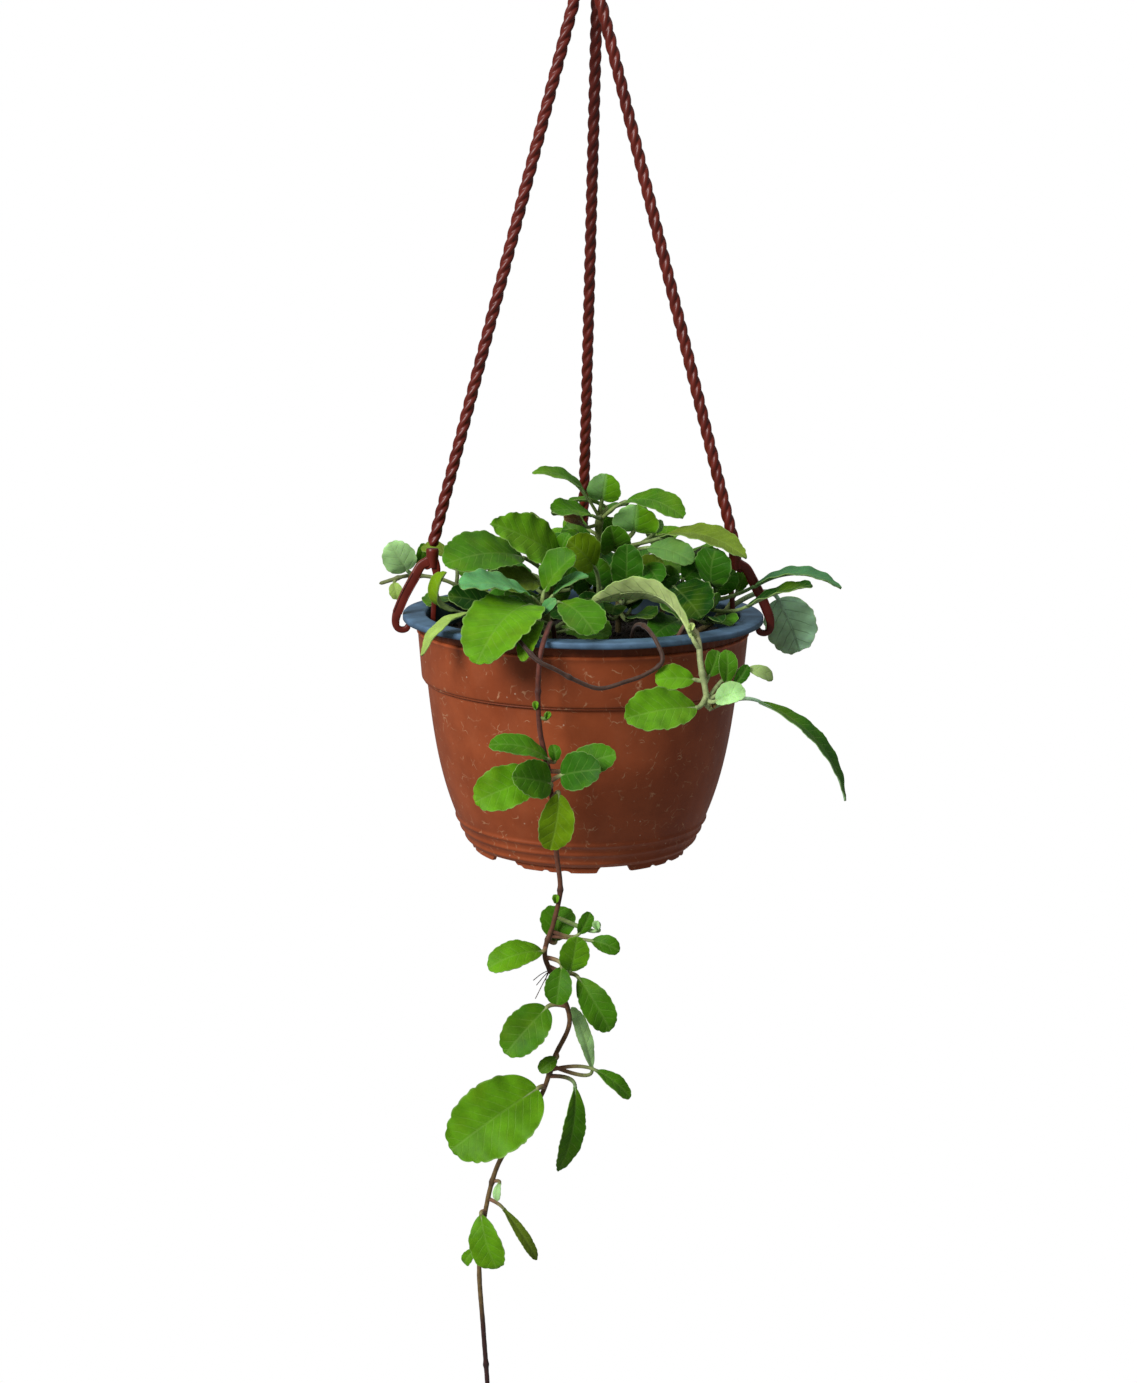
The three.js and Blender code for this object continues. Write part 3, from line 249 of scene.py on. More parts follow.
def point_along(route, share):
    """The point a share of the way along a route."""
    far = distances(route)
    goal = share * far[-1]
    for i in range(len(route) - 1):
        if far[i + 1] >= goal:
            return route[i].lerp(route[i + 1], (goal - far[i]) / max(far[i + 1] - far[i], 1e-9))
    return route[-1].copy()


def swept(skin, route, section, mark=0, tint=None, flat=None):
    """A closed body swept along a route. section(i) lists its outline's points (across, up) at
    point i, and flat is the way that `up` keeps to; without it the outline turns as little as it can."""
    points, tints = [], []
    up = None
    for i, centre in enumerate(route):
        way = (route[min(i + 1, len(route) - 1)] - route[max(i - 1, 0)]).normalized()
        if flat is not None:
            up = flat
        elif up is None:
            up = Vector((0, -1, 0)) if abs(way.y) < 0.9 else Vector((0, 0, 1))
        up = (up - way * up.dot(way)).normalized()
        across = up.cross(way)
        outline = section(i)
        points += [centre + across * a + up * b for a, b in outline]
        tints += [tint(i) if tint else (1, 1, 1, 1)] * len(outline)
    sides = len(outline)
    faces = [face[::-1] for face in grid_faces(len(route), sides)]
    last = len(points) - sides
    faces += [tuple(range(sides)), tuple(last + j for j in reversed(range(sides)))]
    skin.add(points, faces, mark, tints)


def round_outline(radius, sides=10, flatten=1.0):
    """A circle, or an ellipse where flatten is under 1."""
    angles = [2 * math.pi * j / sides for j in range(sides)]
    return [(radius * math.cos(angle), radius * flatten * math.sin(angle)) for angle in angles]


def bar_outline(width, thickness, corner=0.35, sides=20):
    """A bar's section with rounded edges."""
    outline = []
    for j in range(sides):
        angle = 2 * math.pi * j / sides
        c, s = math.cos(angle), math.sin(angle)
        outline.append((math.copysign(abs(c) ** corner, c) * width / 2,
                        math.copysign(abs(s) ** corner, s) * thickness / 2))
    return outline


def ease(share):
    """Goes smoothly from 0 to 1."""
    share = min(max(share, 0.0), 1.0)
    return share * share * (3 - 2 * share)


# ---- finishes ------------------------------------------------------------------------------------

MIX_A, MIX_B, MIX_OUT = 6, 7, 2    # the colour sockets of a Mix node
PLASTIC_IOR, LEAF_IOR = 1.49, 1.42


def add(tree, kind, inputs=None, **settings):
    """Adds one shader node with its settings, and fills or links its inputs."""
    node = tree.nodes.new("ShaderNode" + kind)
    for key, value in settings.items():
        setattr(node, key, value)
    for key, value in (inputs or {}).items():
        if isinstance(value, bpy.types.NodeSocket):
            tree.links.new(value, node.inputs[key])
        else:
            node.inputs[key].default_value = value
    return node


def new_finish(name):
    """An empty material, its tree, and the place on the object in metres."""
    material = bpy.data.materials.new(name)
    material.use_nodes = True
    tree = material.node_tree
    tree.nodes.clear()
    return material, tree, add(tree, "TexCoord").outputs["Object"]


def finish_with(tree, **inputs):
    """Ends a tree with the one surface shader that everything feeds."""
    named = {key.replace("_", " "): value for key, value in inputs.items()}
    shader = add(tree, "BsdfPrincipled", named)
    add(tree, "OutputMaterial", {"Surface": shader.outputs[0]})


def per(millimetres):
    """The texture scale that gives features of that size, in a frame of metres."""
    return 1 / (millimetres * MM)


def clouds(tree, place, size, detail, rough=0.5, distortion=0.0):
    """Noise with features of a size in millimetres."""
    return add(tree, "TexNoise", {"Vector": place, "Scale": per(size), "Detail": detail, "Roughness": rough,
                                  "Distortion": distortion})


def remap(tree, value, low, high, to_low=0.0, to_high=1.0):
    """Takes low..high to to_low..to_high, and holds the ends."""
    return add(tree, "MapRange", {"Value": value, "From Min": low, "From Max": high, "To Min": to_low,
                                  "To Max": to_high}).outputs[0]


def blend(tree, share, below, above, way="MIX"):
    """One colour over another, by a share."""
    return add(tree, "Mix", {0: share, MIX_A: below, MIX_B: above}, data_type="RGBA",
               blend_type=way).outputs[MIX_OUT]


def reckon(tree, operation, *values):
    """Arithmetic on two or three values."""
    return add(tree, "Math", dict(enumerate(values)), operation=operation).outputs[0]


def marked(tree):
    """The tint that the mesh gives each point."""
    return add(tree, "Attribute", attribute_name="tint").outputs["Color"]


def scaled(tree, colour, share):
    """A colour made darker or lighter."""
    return add(tree, "VectorMath", {0: colour, "Scale": share}, operation="SCALE").outputs[0]


def bump(tree, height, strength, millimetres, over=None, invert=False):
    """Lifts or sinks the skin, over another bump where one is given."""
    inputs = {"Height": height, "Strength": strength, "Distance": millimetres * MM}
    if over is not None:
        inputs["Normal"] = over
    return add(tree, "Bump", inputs, invert=invert).outputs[0]


def toned(colour, red, green=None, blue=None):
    """A colour with its channels scaled, all by the first share where only one is given."""
    shares = (red, red if green is None else green, red if blue is None else blue)
    return (*(c * share for c, share in zip(colour, shares)), 1)


def moulded_terracotta_polypropylene(colour):
    """Injection-moulded polypropylene: an even semi-gloss skin, brown-red, which years of watering
    have scratched and dusted with lime. Scuffs are drawn at 0.3 mm, about the finest that shows."""
    finish, tree, place = new_finish("moulded_terracotta_polypropylene")
    cloudy = remap(tree, clouds(tree, place, 26, 5, 0.6).outputs[0], 0.36, 0.66)
    base = blend(tree, cloudy, toned(colour, 0.82), toned(colour, 1.12, 1.22, 1.3))
    # Lime film in soft streaks down the wall.
    drawn_out = add(tree, "Mapping", {"Vector": place, "Scale": (1.0, 1.0, 0.28)}).outputs[0]
    streak = clouds(tree, drawn_out, 9, 6, 0.7, 0.6).outputs[0]
    filmed = blend(tree, remap(tree, streak, 0.5, 0.82, 0, 0.18), base, linear(0xA8694A))
    # Curved scuffs: thin cell borders, bent and broken up.
    bend = clouds(tree, place, 7, 2).outputs["Color"]
    bent = add(tree, "VectorMath", {0: bend, 1: (0.010, 0.010, 0.010)}, operation="MULTIPLY").outputs[0]
    swayed = add(tree, "VectorMath", {0: place, 1: bent}, operation="ADD").outputs[0]
    cells = add(tree, "TexVoronoi", {"Vector": swayed, "Scale": per(8)}, feature="DISTANCE_TO_EDGE")
    line = remap(tree, cells.outputs["Distance"], 0.010, 0.034, 0.85, 0)
    gaps = remap(tree, clouds(tree, place, 5, 3).outputs[0], 0.52, 0.68)
    scuff = reckon(tree, "MULTIPLY", line, gaps)
    scuffed = blend(tree, scuff, filmed, linear(0xC0906F))
    # Dried lime specks, 0.5 to 1 mm.
    specks = add(tree, "TexVoronoi", {"Vector": place, "Scale": per(5.5)}, feature="F1")
    speck = remap(tree, specks.outputs["Distance"], 0.05, 0.10, 0.75, 0)
    few = remap(tree, clouds(tree, place, 16, 1).outputs[0], 0.49, 0.61)
    speckled = blend(tree, reckon(tree, "MULTIPLY", speck, few), scuffed, linear(0xCDB09A))
    # The mesh's tint: a lighter line along the turned lip, and painted shade on the neck under the flange and
    # in the step's crease.
    tinted_and_shaded = blend(tree, 1.0, speckled, marked(tree), "MULTIPLY")
    skin = bump(tree, clouds(tree, place, 1.1, 3).outputs[0], 0.12, 0.3)
    finish_with(tree, Base_Color=tinted_and_shaded, Roughness=remap(tree, streak, 0.3, 0.8, 0.36, 0.62), IOR=PLASTIC_IOR,
                Specular_IOR_Level=0.25, Normal=bump(tree, scuff, 0.3, 0.2, skin))
    return finish


def moulded_slate_polypropylene(colour):
    """The liner's polypropylene, moulded in slate blue: flatter than the outer pot, its flange paled by
    daylight and dirtied by the soil inside. The mesh's tint adds soil dirt with painted shade inside the
    liner, and painted shade under the flange's lip."""
    finish, tree, place = new_finish("moulded_slate_polypropylene")
    cloud = clouds(tree, place, 14, 6, 0.65).outputs[0]
    base = blend(tree, remap(tree, cloud, 0.35, 0.7), toned(colour, 0.66), toned(colour, 1.22))
    patches = remap(tree, clouds(tree, place, 4, 6, 0.75).outputs[0], 0.58, 0.78, 0, 0.55)
    dirty = blend(tree, patches, base, linear(0x39382F))
    # the mesh's tint: soil dirt and painted shade inside, painted shade under the flange's lip
    tinted_and_shaded = blend(tree, 1.0, dirty, marked(tree), "MULTIPLY")
    grain = clouds(tree, place, 0.9, 3).outputs[0]
    finish_with(tree, Base_Color=tinted_and_shaded, Roughness=remap(tree, cloud, 0, 1, 0.42, 0.66), IOR=PLASTIC_IOR,
                Specular_IOR_Level=0.25, Normal=bump(tree, grain, 0.15, 0.3))
    return finish


def moulded_red_brown_polypropylene(colour):
    """Glossier polypropylene of the hanger, whose twisted plies and rounded clips catch long
    highlights; handling has paled it in soft patches."""
    finish, tree, place = new_finish("moulded_red_brown_polypropylene")
    cloud = clouds(tree, place, 9, 4).outputs[0]
    base = blend(tree, remap(tree, cloud, 0.35, 0.7), toned(colour, 0.72), toned(colour, 1.2, 1.35, 1.35))
    dust = clouds(tree, place, 1.6, 5, 0.7).outputs[0]
    dusty = blend(tree, remap(tree, dust, 0.62, 0.8, 0, 0.1), base, linear(0x9C6A5C))
    finish_with(tree, Base_Color=dusty, Roughness=remap(tree, cloud, 0, 1, 0.3, 0.42), IOR=PLASTIC_IOR,
                Specular_IOR_Level=0.4, Normal=bump(tree, dust, 0.04, 0.2))
    return finish


def crumbled_potting_mix():
    """Peat and bark, sieved and watered: near black where moist, browner on the dry crumbs."""
    finish, tree, place = new_finish("crumbled_potting_mix")
    crumb = clouds(tree, place, 2.2, 8, 0.7).outputs[0]
    base = add(tree, "ValToRGB", {"Fac": crumb})
    for stop, code, position in zip(base.color_ramp.elements, (0x0E0A07, 0x35271C), (0.35, 0.75)):
        stop.color = linear(code)
        stop.position = position
    finish_with(tree, Base_Color=base.outputs[0], Roughness=0.95, Normal=bump(tree, crumb, 0.8, 1))
    return finish


def living_leaf(name, vein_colour, vein_share, sheen, vein_spacing, gloss):
    """A fleshy leaf under fine hair: the tint of each blade, mottled, with a pale midrib, side veins that
    lift or sink its skin, and a pale line along the hairy edge as a painted highlight. Light passes a little
    way in."""
    finish, tree, place = new_finish(name)
    blade = add(tree, "Attribute", attribute_name="blade")
    across, along, edge = add(tree, "SeparateXYZ", {0: blade.outputs["Vector"]}).outputs
    off = reckon(tree, "ABSOLUTE", across)
    drift = remap(tree, clouds(tree, place, 6, 2).outputs[0], 0, 1, -0.9, 0.9)
    # A side vein leaves the midrib forwards, so it lies where along - 0.8 x across repeats.
    row = reckon(tree, "ADD", reckon(tree, "MULTIPLY_ADD", off, -0.8, along), drift)
    side_vein = remap(tree, reckon(tree, "PINGPONG", row, vein_spacing / 2), 0.1, 0.42, 1, 0)
    veins = reckon(tree, "MULTIPLY", side_vein, remap(tree, edge, 0.45, 0.9, 1, 0))
    ribs = reckon(tree, "MAXIMUM", veins, remap(tree, off, 0.25, 0.75, 1, 0))
    mottle = clouds(tree, place, 11, 4, 0.6).outputs[0]
    mottled = scaled(tree, marked(tree), remap(tree, mottle, 0.3, 0.7, 0.74, 1.3))
    ripe = remap(tree, clouds(tree, place, 17, 2).outputs[0], 0.5, 0.75, 0, 0.3)
    warmed = blend(tree, ripe, mottled, linear(0x7A9A10))
    veined = blend(tree, reckon(tree, "MULTIPLY", ribs, vein_share), warmed, linear(vein_colour))
    # painted highlight: a pale line along the hairy edge
    edge_highlighted = blend(tree, remap(tree, edge, 0.94, 1, 0, 0.4), veined, linear(0xA8C878))
    sunk = bump(tree, ribs, 0.3, 0.4, invert=True)
    hair = bump(tree, clouds(tree, place, 0.7, 4).outputs[0], 0.16, 0.3, sunk)
    finish_with(tree, Base_Color=edge_highlighted, Roughness=remap(tree, mottle, 0, 1, gloss, gloss + 0.2), IOR=LEAF_IOR,
                Specular_IOR_Level=0.14, Normal=hair, Sheen_Weight=sheen, Sheen_Roughness=0.45,
                Subsurface_Weight=0.18, Subsurface_Radius=(0.9, 1.3, 0.35), Subsurface_Scale=0.001)
    return finish


def living_stem():
    """Living stem: green and finely hairy when young, red-brown and corky when old. The tint in the
    mesh says which, and long flecks follow it."""
    finish, tree, place = new_finish("living_stem")
    flecks = clouds(tree, place, 2.5, 5, 0.7).outputs[0]
    coloured = scaled(tree, marked(tree), remap(tree, flecks, 0.3, 0.75, 0.5, 1.3))
    finish_with(tree, Base_Color=coloured, Roughness=0.6, IOR=LEAF_IOR, Normal=bump(tree, flecks, 0.4, 0.4),
                Sheen_Weight=0.15)
    return finish


# ---- outer pot, liner and soil -------------------------------------------------------------------

GAP = 0.3                          # between parts that are fitted together
AROUND = 360                       # points round a pot
NECK_IN = 0.6                      # from the collar in to the neck
COLLAR_TAPER = 2                   # how much the collar narrows on its way down
STEP_IN = 2.4                      # from the collar's foot in to the wall
FOOT_HEIGHT = 4.4
FLOOR_RINGS = (48, 40, 24, 10, 0.02)            # radii across a pot's floor
DRAIN_RADIUS, DRAIN_CIRCLE, DRAINS = 4, 34, 7
CRUMBS = 900                                    # loose on the soil
NOTCHES = [17 + 60 * i for i in range(6)]       # degrees from the front, anticlockwise from above
NOTCH_HALF, NOTCH_DEPTH = 8.7, 3.1              # degrees, millimetres
BITES = [(-33, 2.2, 1.3), (-18, 1.6, 0.9), (-8, 2.6, 1.1), (40, 1.8, 1.0), (52, 2.4, 1.2), (64, 1.5, 0.8),
         (103, 2, 1), (160, 2.4, 1.2), (222, 2, 0.9), (285, 2.2, 1.1)]    # place, half width, depth


def pot_levels(sizes):
    """The heights that pot, liner and soil share."""
    levels = SimpleNamespace(top=RIM_TOP - sizes.liner_wall - GAP)
    levels.foot = levels.top - sizes.pot_height
    levels.lip = levels.top - 8
    levels.step = levels.lip - sizes.collar_height
    levels.floor = levels.foot + FOOT_HEIGHT
    levels.liner_floor = levels.floor + sizes.pot_wall + GAP
    levels.soil = -sizes.soil_depth
    return levels


def wall_radius(sizes, levels, z):
    """The wall's outside below the step: steep at first, then turning in like a bowl."""
    down = (levels.step - z) / (levels.step - levels.foot)
    step_radius = sizes.collar_radius - COLLAR_TAPER - STEP_IN
    return step_radius + (sizes.base_radius - step_radius) * (0.42 * down + 0.58 * down ** 3)


def heights(start, end, count):
    """Evenly spaced heights, both ends among them."""
    return [start + (end - start) * i / count for i in range(count + 1)]


def rib_bulge(z, centres, pitch, proud):
    """How far the turned ribs stand out at a height."""
    return sum(proud * math.exp(-((z - centre) / (pitch * 0.2)) ** 2) for centre in centres)


def foot_lift(angle):
    """How far the skirt's lower edge is cut up at an angle, in millimetres."""
    degrees = (math.degrees(angle) + 90) % 360

    def off(centre):
        return abs((degrees - centre + 180) % 360 - 180)

    cuts = [NOTCH_DEPTH * (1 - ease((off(centre) - NOTCH_HALF + 1.6) / 2.2)) for centre in NOTCHES]
    chips = [depth * math.sqrt(max(0.0, 1 - (off(centre) / half) ** 2)) for centre, half, depth in BITES]
    return max(cuts + chips)


def drilled(piece, floor, thickness):
    """Cuts the drain holes through a pot's floor."""
    drill = Skin()
    for i in range(DRAINS):
        angle = 2 * math.pi * i / DRAINS
        swept(drill, [polar(DRAIN_CIRCLE, angle, z) for z in (floor - 2, floor + thickness + 2)],
              lambda ring: round_outline(DRAIN_RADIUS, 32))
    tool = link("drill", in_frame("drill", drill))
    holes = piece.modifiers.new("drain_holes", "BOOLEAN")
    holes.object = tool
    holes.operation = "DIFFERENCE"
    holes.solver = "EXACT"
    with bpy.context.temp_override(object=piece, active_object=piece, selected_objects=[piece]):
        bpy.ops.object.modifier_apply(modifier=holes.name)
    bpy.data.objects.remove(tool)


def lip_line_and_painted_shade(skin, levels):
    """Lightens a line along the lip, and paints shade on the neck under the flange and in the step's crease.
    """
    for i, point in enumerate(skin.points):
        z = point.z
        spot = noise.noise(Vector((point.x, point.y, z)) * 0.16)
        tint = 1.0
        # painted shade of the overhanging flange on the neck, mottled
        if z > levels.lip + 1.4:
            tint = 0.62 + 0.2 * spot
        # a lighter line along the lip
        if abs(z - levels.lip - 1) < 0.5:
            tint = 1.5 + 0.9 * spot
        # painted shade in the step's crease
        if abs(z - levels.step) < 0.5:
            tint = 0.72
        skin.tints[i] = (tint, tint * 0.98, tint * 0.94, 1)


def outer_pot():
    """The terracotta pot: ribbed neck, lip, collar, double step, three turned ribs and cut feet."""
    sizes = in_mm(bpy.context.scene.pot_sizes)
    levels = pot_levels(sizes)
    collar = sizes.collar_radius
    neck = collar - NECK_IN
    wall = sizes.pot_wall
    skirt = sizes.base_radius
    lip, step, floor, foot = levels.lip, levels.step, levels.floor, levels.foot
    ribs = [floor + 1.2 + i * sizes.rib_pitch for i in range(3)]
    profile = [(neck - 0.3, levels.top), (neck, levels.top - 0.3)]
    profile += [(neck, z) for z in heights(levels.top - 0.6, lip + 1.9, 8)]
    profile += [(neck + 0.1, lip + 1.6), (neck + 0.8, lip + 1.4), (neck + 1.2, lip + 1.0),
                (neck + 1.2, lip + 0.5), (collar, lip - 0.3)]
    profile += [(collar - 1.7 * share, lip - 0.6 - (sizes.collar_height - 2.6) * share)
                for share in heights(0, 1, 12)[1:]]
    edge = collar - 1.9
    profile += [(edge - back, step + up) for back, up in
                ((0, 1.2), (0.2, 0.9), (1.0, 0.6), (1.1, 0.1), (0.9, -0.2), (1.3, -0.6))]
    profile += [(wall_radius(sizes, levels, step), step - 0.9)]
    profile += [(wall_radius(sizes, levels, z) + rib_bulge(z, ribs, sizes.rib_pitch, 0.9), z)
                for z in heights(step - 1.4, floor - 0.8, 150)]
    profile += [(skirt + 0.3, floor - 1.2), (skirt, floor - 1.8)]
    profile += [(skirt, z) for z in heights(floor - 2.2, foot + 0.2, 5)]
    profile += [(skirt - 0.2, foot), (skirt - wall + 0.2, foot), (skirt - wall, foot + 0.2),
                (skirt - wall, floor)]
    profile += [(radius, floor) for radius in FLOOR_RINGS]
    profile += [(radius, floor + wall) for radius in reversed(FLOOR_RINGS)]
    profile += [(wall_radius(sizes, levels, z) - wall, z) for z in heights(floor + wall, step - 1, 24)]
    profile += [(collar - STEP_IN - wall, step + 3), (neck - wall, lip), (neck - wall, levels.top - 0.2),
                (neck - wall + 0.2, levels.top)]

    def shape(angle, radius, z):
        if z > lip + 1.7 and radius > neck - 0.1:
            radius += 0.35 * max(0.0, math.cos(angle * 120)) ** 2
        if z < floor - 1.0 and radius > skirt - wall - 0.1:
            z += foot_lift(angle) * (floor - 1.0 - z) / (floor - 1.0 - foot)
        return radius, z

    skin = Skin()
    turned(skin, profile, AROUND, shape)
    lip_line_and_painted_shade(skin, levels)
    finish = moulded_terracotta_polypropylene(tuple(bpy.context.scene.pot_sizes.terracotta))
    pot = settle("outer_pot_piece", skin, [finish], ["outer_pot"], 40)
    drilled(pot, floor, wall)


def inner_pot():
    """The slate liner: its wall lies inside the outer pot, and its flange rests on the top edge."""
    sizes = in_mm(bpy.context.scene.pot_sizes)
    levels = pot_levels(sizes)
    thin = sizes.liner_wall
    rim = sizes.rim_radius
    inset = sizes.pot_wall + GAP
    throat = sizes.collar_radius - NECK_IN - inset
    lip = RIM_TOP - FLANGE_LIP
    floor, knee = levels.liner_floor, (sizes.collar_radius - STEP_IN - inset, levels.step + 3)

    def outside(z):
        return wall_radius(sizes, levels, z) - inset

    bottom = outside(floor)
    walls = heights(levels.step - 1, floor + 1, 26)
    profile = [(rim - 0.5, RIM_TOP - 0.1), (rim - 0.12, RIM_TOP - 0.45), (rim, RIM_TOP - 0.9)]
    profile += [(rim, z) for z in heights(RIM_TOP - 1.3, lip + 0.3, 4)]
    profile += [(rim - 0.2, lip), (rim - thin + 0.2, lip), (rim - thin, lip + 0.3),
                (rim - thin, RIM_TOP - thin), (throat + 0.3, RIM_TOP - thin), (throat, RIM_TOP - thin - 0.3),
                (throat, levels.lip), knee]
    profile += [(outside(z), z) for z in walls]
    profile += [(radius, floor) for radius in (bottom - 0.6, *FLOOR_RINGS)]
    profile += [(radius, floor + thin) for radius in (*reversed(FLOOR_RINGS), bottom - thin - 0.6)]
    profile += [(outside(z) - thin, z) for z in reversed(walls[:-1])]
    profile += [(knee[0] - thin, knee[1]), (throat - thin, levels.lip)]
    profile += [(throat - thin, z) for z in heights(levels.lip + 2, RIM_TOP - 1.0, 5)]
    profile += [(throat - thin + 0.15, RIM_TOP - 0.5), (throat - 0.6, RIM_TOP - 0.1), (throat, RIM_TOP)]
    profile += [(throat + (rim - throat) * share, RIM_TOP) for share in (0.25, 0.5, 0.75)]

    def shape(angle, radius, z):
        sway = 0.35 * noise.noise(Vector((math.cos(angle) * 2.2, math.sin(angle) * 2.2, 0.3)))
        if radius > throat and z > lip - 1:
            z += sway * (radius - throat) / (rim - throat)
        return radius, z

    skin = Skin()
    turned(skin, profile, AROUND, shape)
    # The tint: soil dirt with painted shade down the inside of the liner, random spots, and painted shade on
    # the lower part of the flange's lip.
    for i, point in enumerate(skin.points):
        radius = math.hypot(point.x, point.y)
        tinted_and_shaded = ease((throat - radius + 0.4) * 2) * ease((-point.z) / 6 + 0.3)
        spot = noise.noise(point * 0.12)
        lip_painted_shade = ease((radius - rim + 0.5) * 4) * ease((0.2 - point.z) / 1.6)
        shade = (1.0 - 0.55 * tinted_and_shaded) * (1 + 0.25 * spot) * (1 - 0.55 * lip_painted_shade)
        skin.tints[i] = (shade, shade, shade * (1 - 0.12 * tinted_and_shaded), 1)
    finish = moulded_slate_polypropylene(tuple(bpy.context.scene.pot_sizes.slate))
    liner = settle("inner_pot_piece", skin, [finish], ["inner_pot"], 40)
    drilled(liner, floor, thin)


def potting_soil():
    """The root ball of potting mix, its top heaped and crumbled."""
    sizes = in_mm(bpy.context.scene.pot_sizes)
    levels = pot_levels(sizes)
    inset = sizes.pot_wall + sizes.liner_wall + GAP * 2
    base = levels.liner_floor + sizes.liner_wall + GAP
    edge = sizes.collar_radius - 2.8 - inset + GAP

    def side(z):
        return wall_radius(sizes, levels, z) - inset

    profile = [(edge * share, levels.soil) for share in heights(0.0003, 0.985, 60)]
    profile += [(edge, levels.soil - 0.8)]
    profile += [(side(z), z) for z in heights(levels.step - 1, base + 3, 12)]
    profile += [(side(base) - 0.6, base), (30, base), (0.02, base)]

    def shape(angle, radius, z):
        if z > levels.soil - 0.1 and radius < edge * 0.98:
            spot = polar(radius, angle)
            z += 1.3 * noise.fractal(spot * 0.09, 0.8, 2.2, 5) + 0.5 * noise.noise(spot * 0.6)
        return radius, z

    skin = Skin()
    turned(skin, profile, 220, shape)
    draw = random.Random(11)
    girth = (0.25, 0.8, 1, 0.75, 0.2)
    for _ in range(CRUMBS):
        radius = edge * 0.95 * math.sqrt(draw.random())
        angle = draw.uniform(0, 2 * math.pi)
        size = draw.uniform(0.5, 1.7)
        centre = polar(radius, angle, levels.soil + 0.4 * size)
        lean = Vector((draw.uniform(-1, 1), draw.uniform(-1, 1), draw.uniform(-0.4, 0.4))).normalized()
        route = [centre + lean * size * (i - 2) * 0.5 for i in range(5)]
        stretch = draw.uniform(0.5, 0.9)
        swept(skin, route, lambda i: round_outline(size * girth[i] * 0.7, 6, stretch))
    settle("potting_soil_piece", skin, [crumbled_potting_mix()], ["potting_soil"], 60)


# ---- hanger --------------------------------------------------------------------------------------

HUB_BOTTOM, HUB_TOP = 306, 322     # above the rim's middle height
CLIP_INSET, CLIP_RISE = 15, 35     # of a clip's socket, from the rim and above it
SIDES = {"left": 186, "right": 354, "back": 90}           # degrees round the pot
STRAND_TOPS = {"left": (-0.83, -0.25), "right": (0.45, -0.25), "back": (0.6, 0.79)}    # in diameters


def strand(side, finish):
    """One strand: three plies twisted to the right and drawn straight, from its clip up to the hub."""
    sizes = in_mm(bpy.context.scene.hanger_sizes)
    rim = RIM_HIGH.x / MM
    angle = math.radians(SIDES[side])
    x, y = (share * sizes.strand_diameter for share in STRAND_TOPS[side])
    foot = polar(rim - CLIP_INSET, angle, CLIP_RISE + GAP)
    top = Vector((x, y, HUB_BOTTOM - 1))
    span = (top - foot).length
    steps = round(span / 0.55)
    route = [foot.lerp(top, i / steps) for i in range(steps + 1)]
    outer = sizes.strand_diameter / 2
    ply = outer / (1 + 1 / math.sin(math.pi / sizes.plies))
    offset = outer - ply
    corners = 30

    def section(i):
        turn = 2 * math.pi * (span * i / steps) / sizes.ply_pitch
        end = 0.55 + 0.45 * math.sqrt(ease(min(i, steps - i) / 4))
        outline = []
        for j in range(corners):
            around = 2 * math.pi * j / corners
            off = (around - turn) % (2 * math.pi / sizes.plies) - math.pi / sizes.plies
            reach = offset * math.cos(off) + math.sqrt(max(ply ** 2 - (offset * math.sin(off)) ** 2, 0.0))
            reach = (outer * 0.42 + reach * 0.58) * end
            outline.append((reach * math.cos(around), reach * math.sin(around)))
        return outline

    skin = Skin()
    swept(skin, route, section)
    piece = settle(f"hanger_strand_{side}_piece", skin, [finish],
                   [f"hanger_strand_{side}"], 60)
    places = [foot.lerp(top, share) for share in heights(0, 1, 24)]
    path = [(x * MM, y * MM, (z - RIM_DROP) * MM) for x, y, z in places]
    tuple(path[0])


def hanger_hook(finish):
    """The hub that the strands run into, and the hook above it."""
    sizes = in_mm(bpy.context.scene.hanger_sizes)
    rod = sizes.hook_rod
    bend = sizes.hook_radius + rod / 2
    centre = RIM_DROP - sizes.hook_radius
    foot = HUB_TOP - 1
    skin = Skin()
    hub = [(0.02, HUB_TOP + 0.6), (rod / 2 + 0.2, HUB_TOP + 0.6), (rod / 2 + 1.2, HUB_TOP + 0.1),
           (rod / 2 + 1.9, HUB_TOP - 1.2), (6.6, HUB_TOP - 4.4), (7.6, HUB_TOP - 6), (8, HUB_TOP - 7.4)]
    hub += [(8 + 0.3 * math.sin(math.pi * i / 2), z)
            for i, z in enumerate(heights(HUB_TOP - 8, HUB_BOTTOM + 1.2, 6))]
    hub += [(7.7, HUB_BOTTOM + 0.3), (7.1, HUB_BOTTOM), (0.02, HUB_BOTTOM)]
    turned(skin, hub, 48)
    turns = [math.radians(12 * i) for i in range(17)]
    over = [Vector((bend * math.cos(turn), 0, centre + bend * math.sin(turn))) for turn in turns]
    rise = [Vector((0, 0, foot)), Vector((0, 0, foot + 4)), Vector((bend * 0.55, 0, centre - bend * 1.25)),
            Vector((bend * 0.93, 0, centre - bend * 0.55))]
    route = smooth_route([*rise, *over], 0.6)
    last = len(route) - 1

    def section(i):
        tip = math.sqrt(max(0.0, 1 - max(0.0, 1 - (last - i) * 0.6 / (rod / 2)) ** 2))
        return round_outline(rod / 2 * max(tip, 0.12), 20)

    swept(skin, route, section, flat=Vector((0, 1, 0)))
    settle("hanger_hook_piece", skin, [finish], ["hanger_hook"], 50)


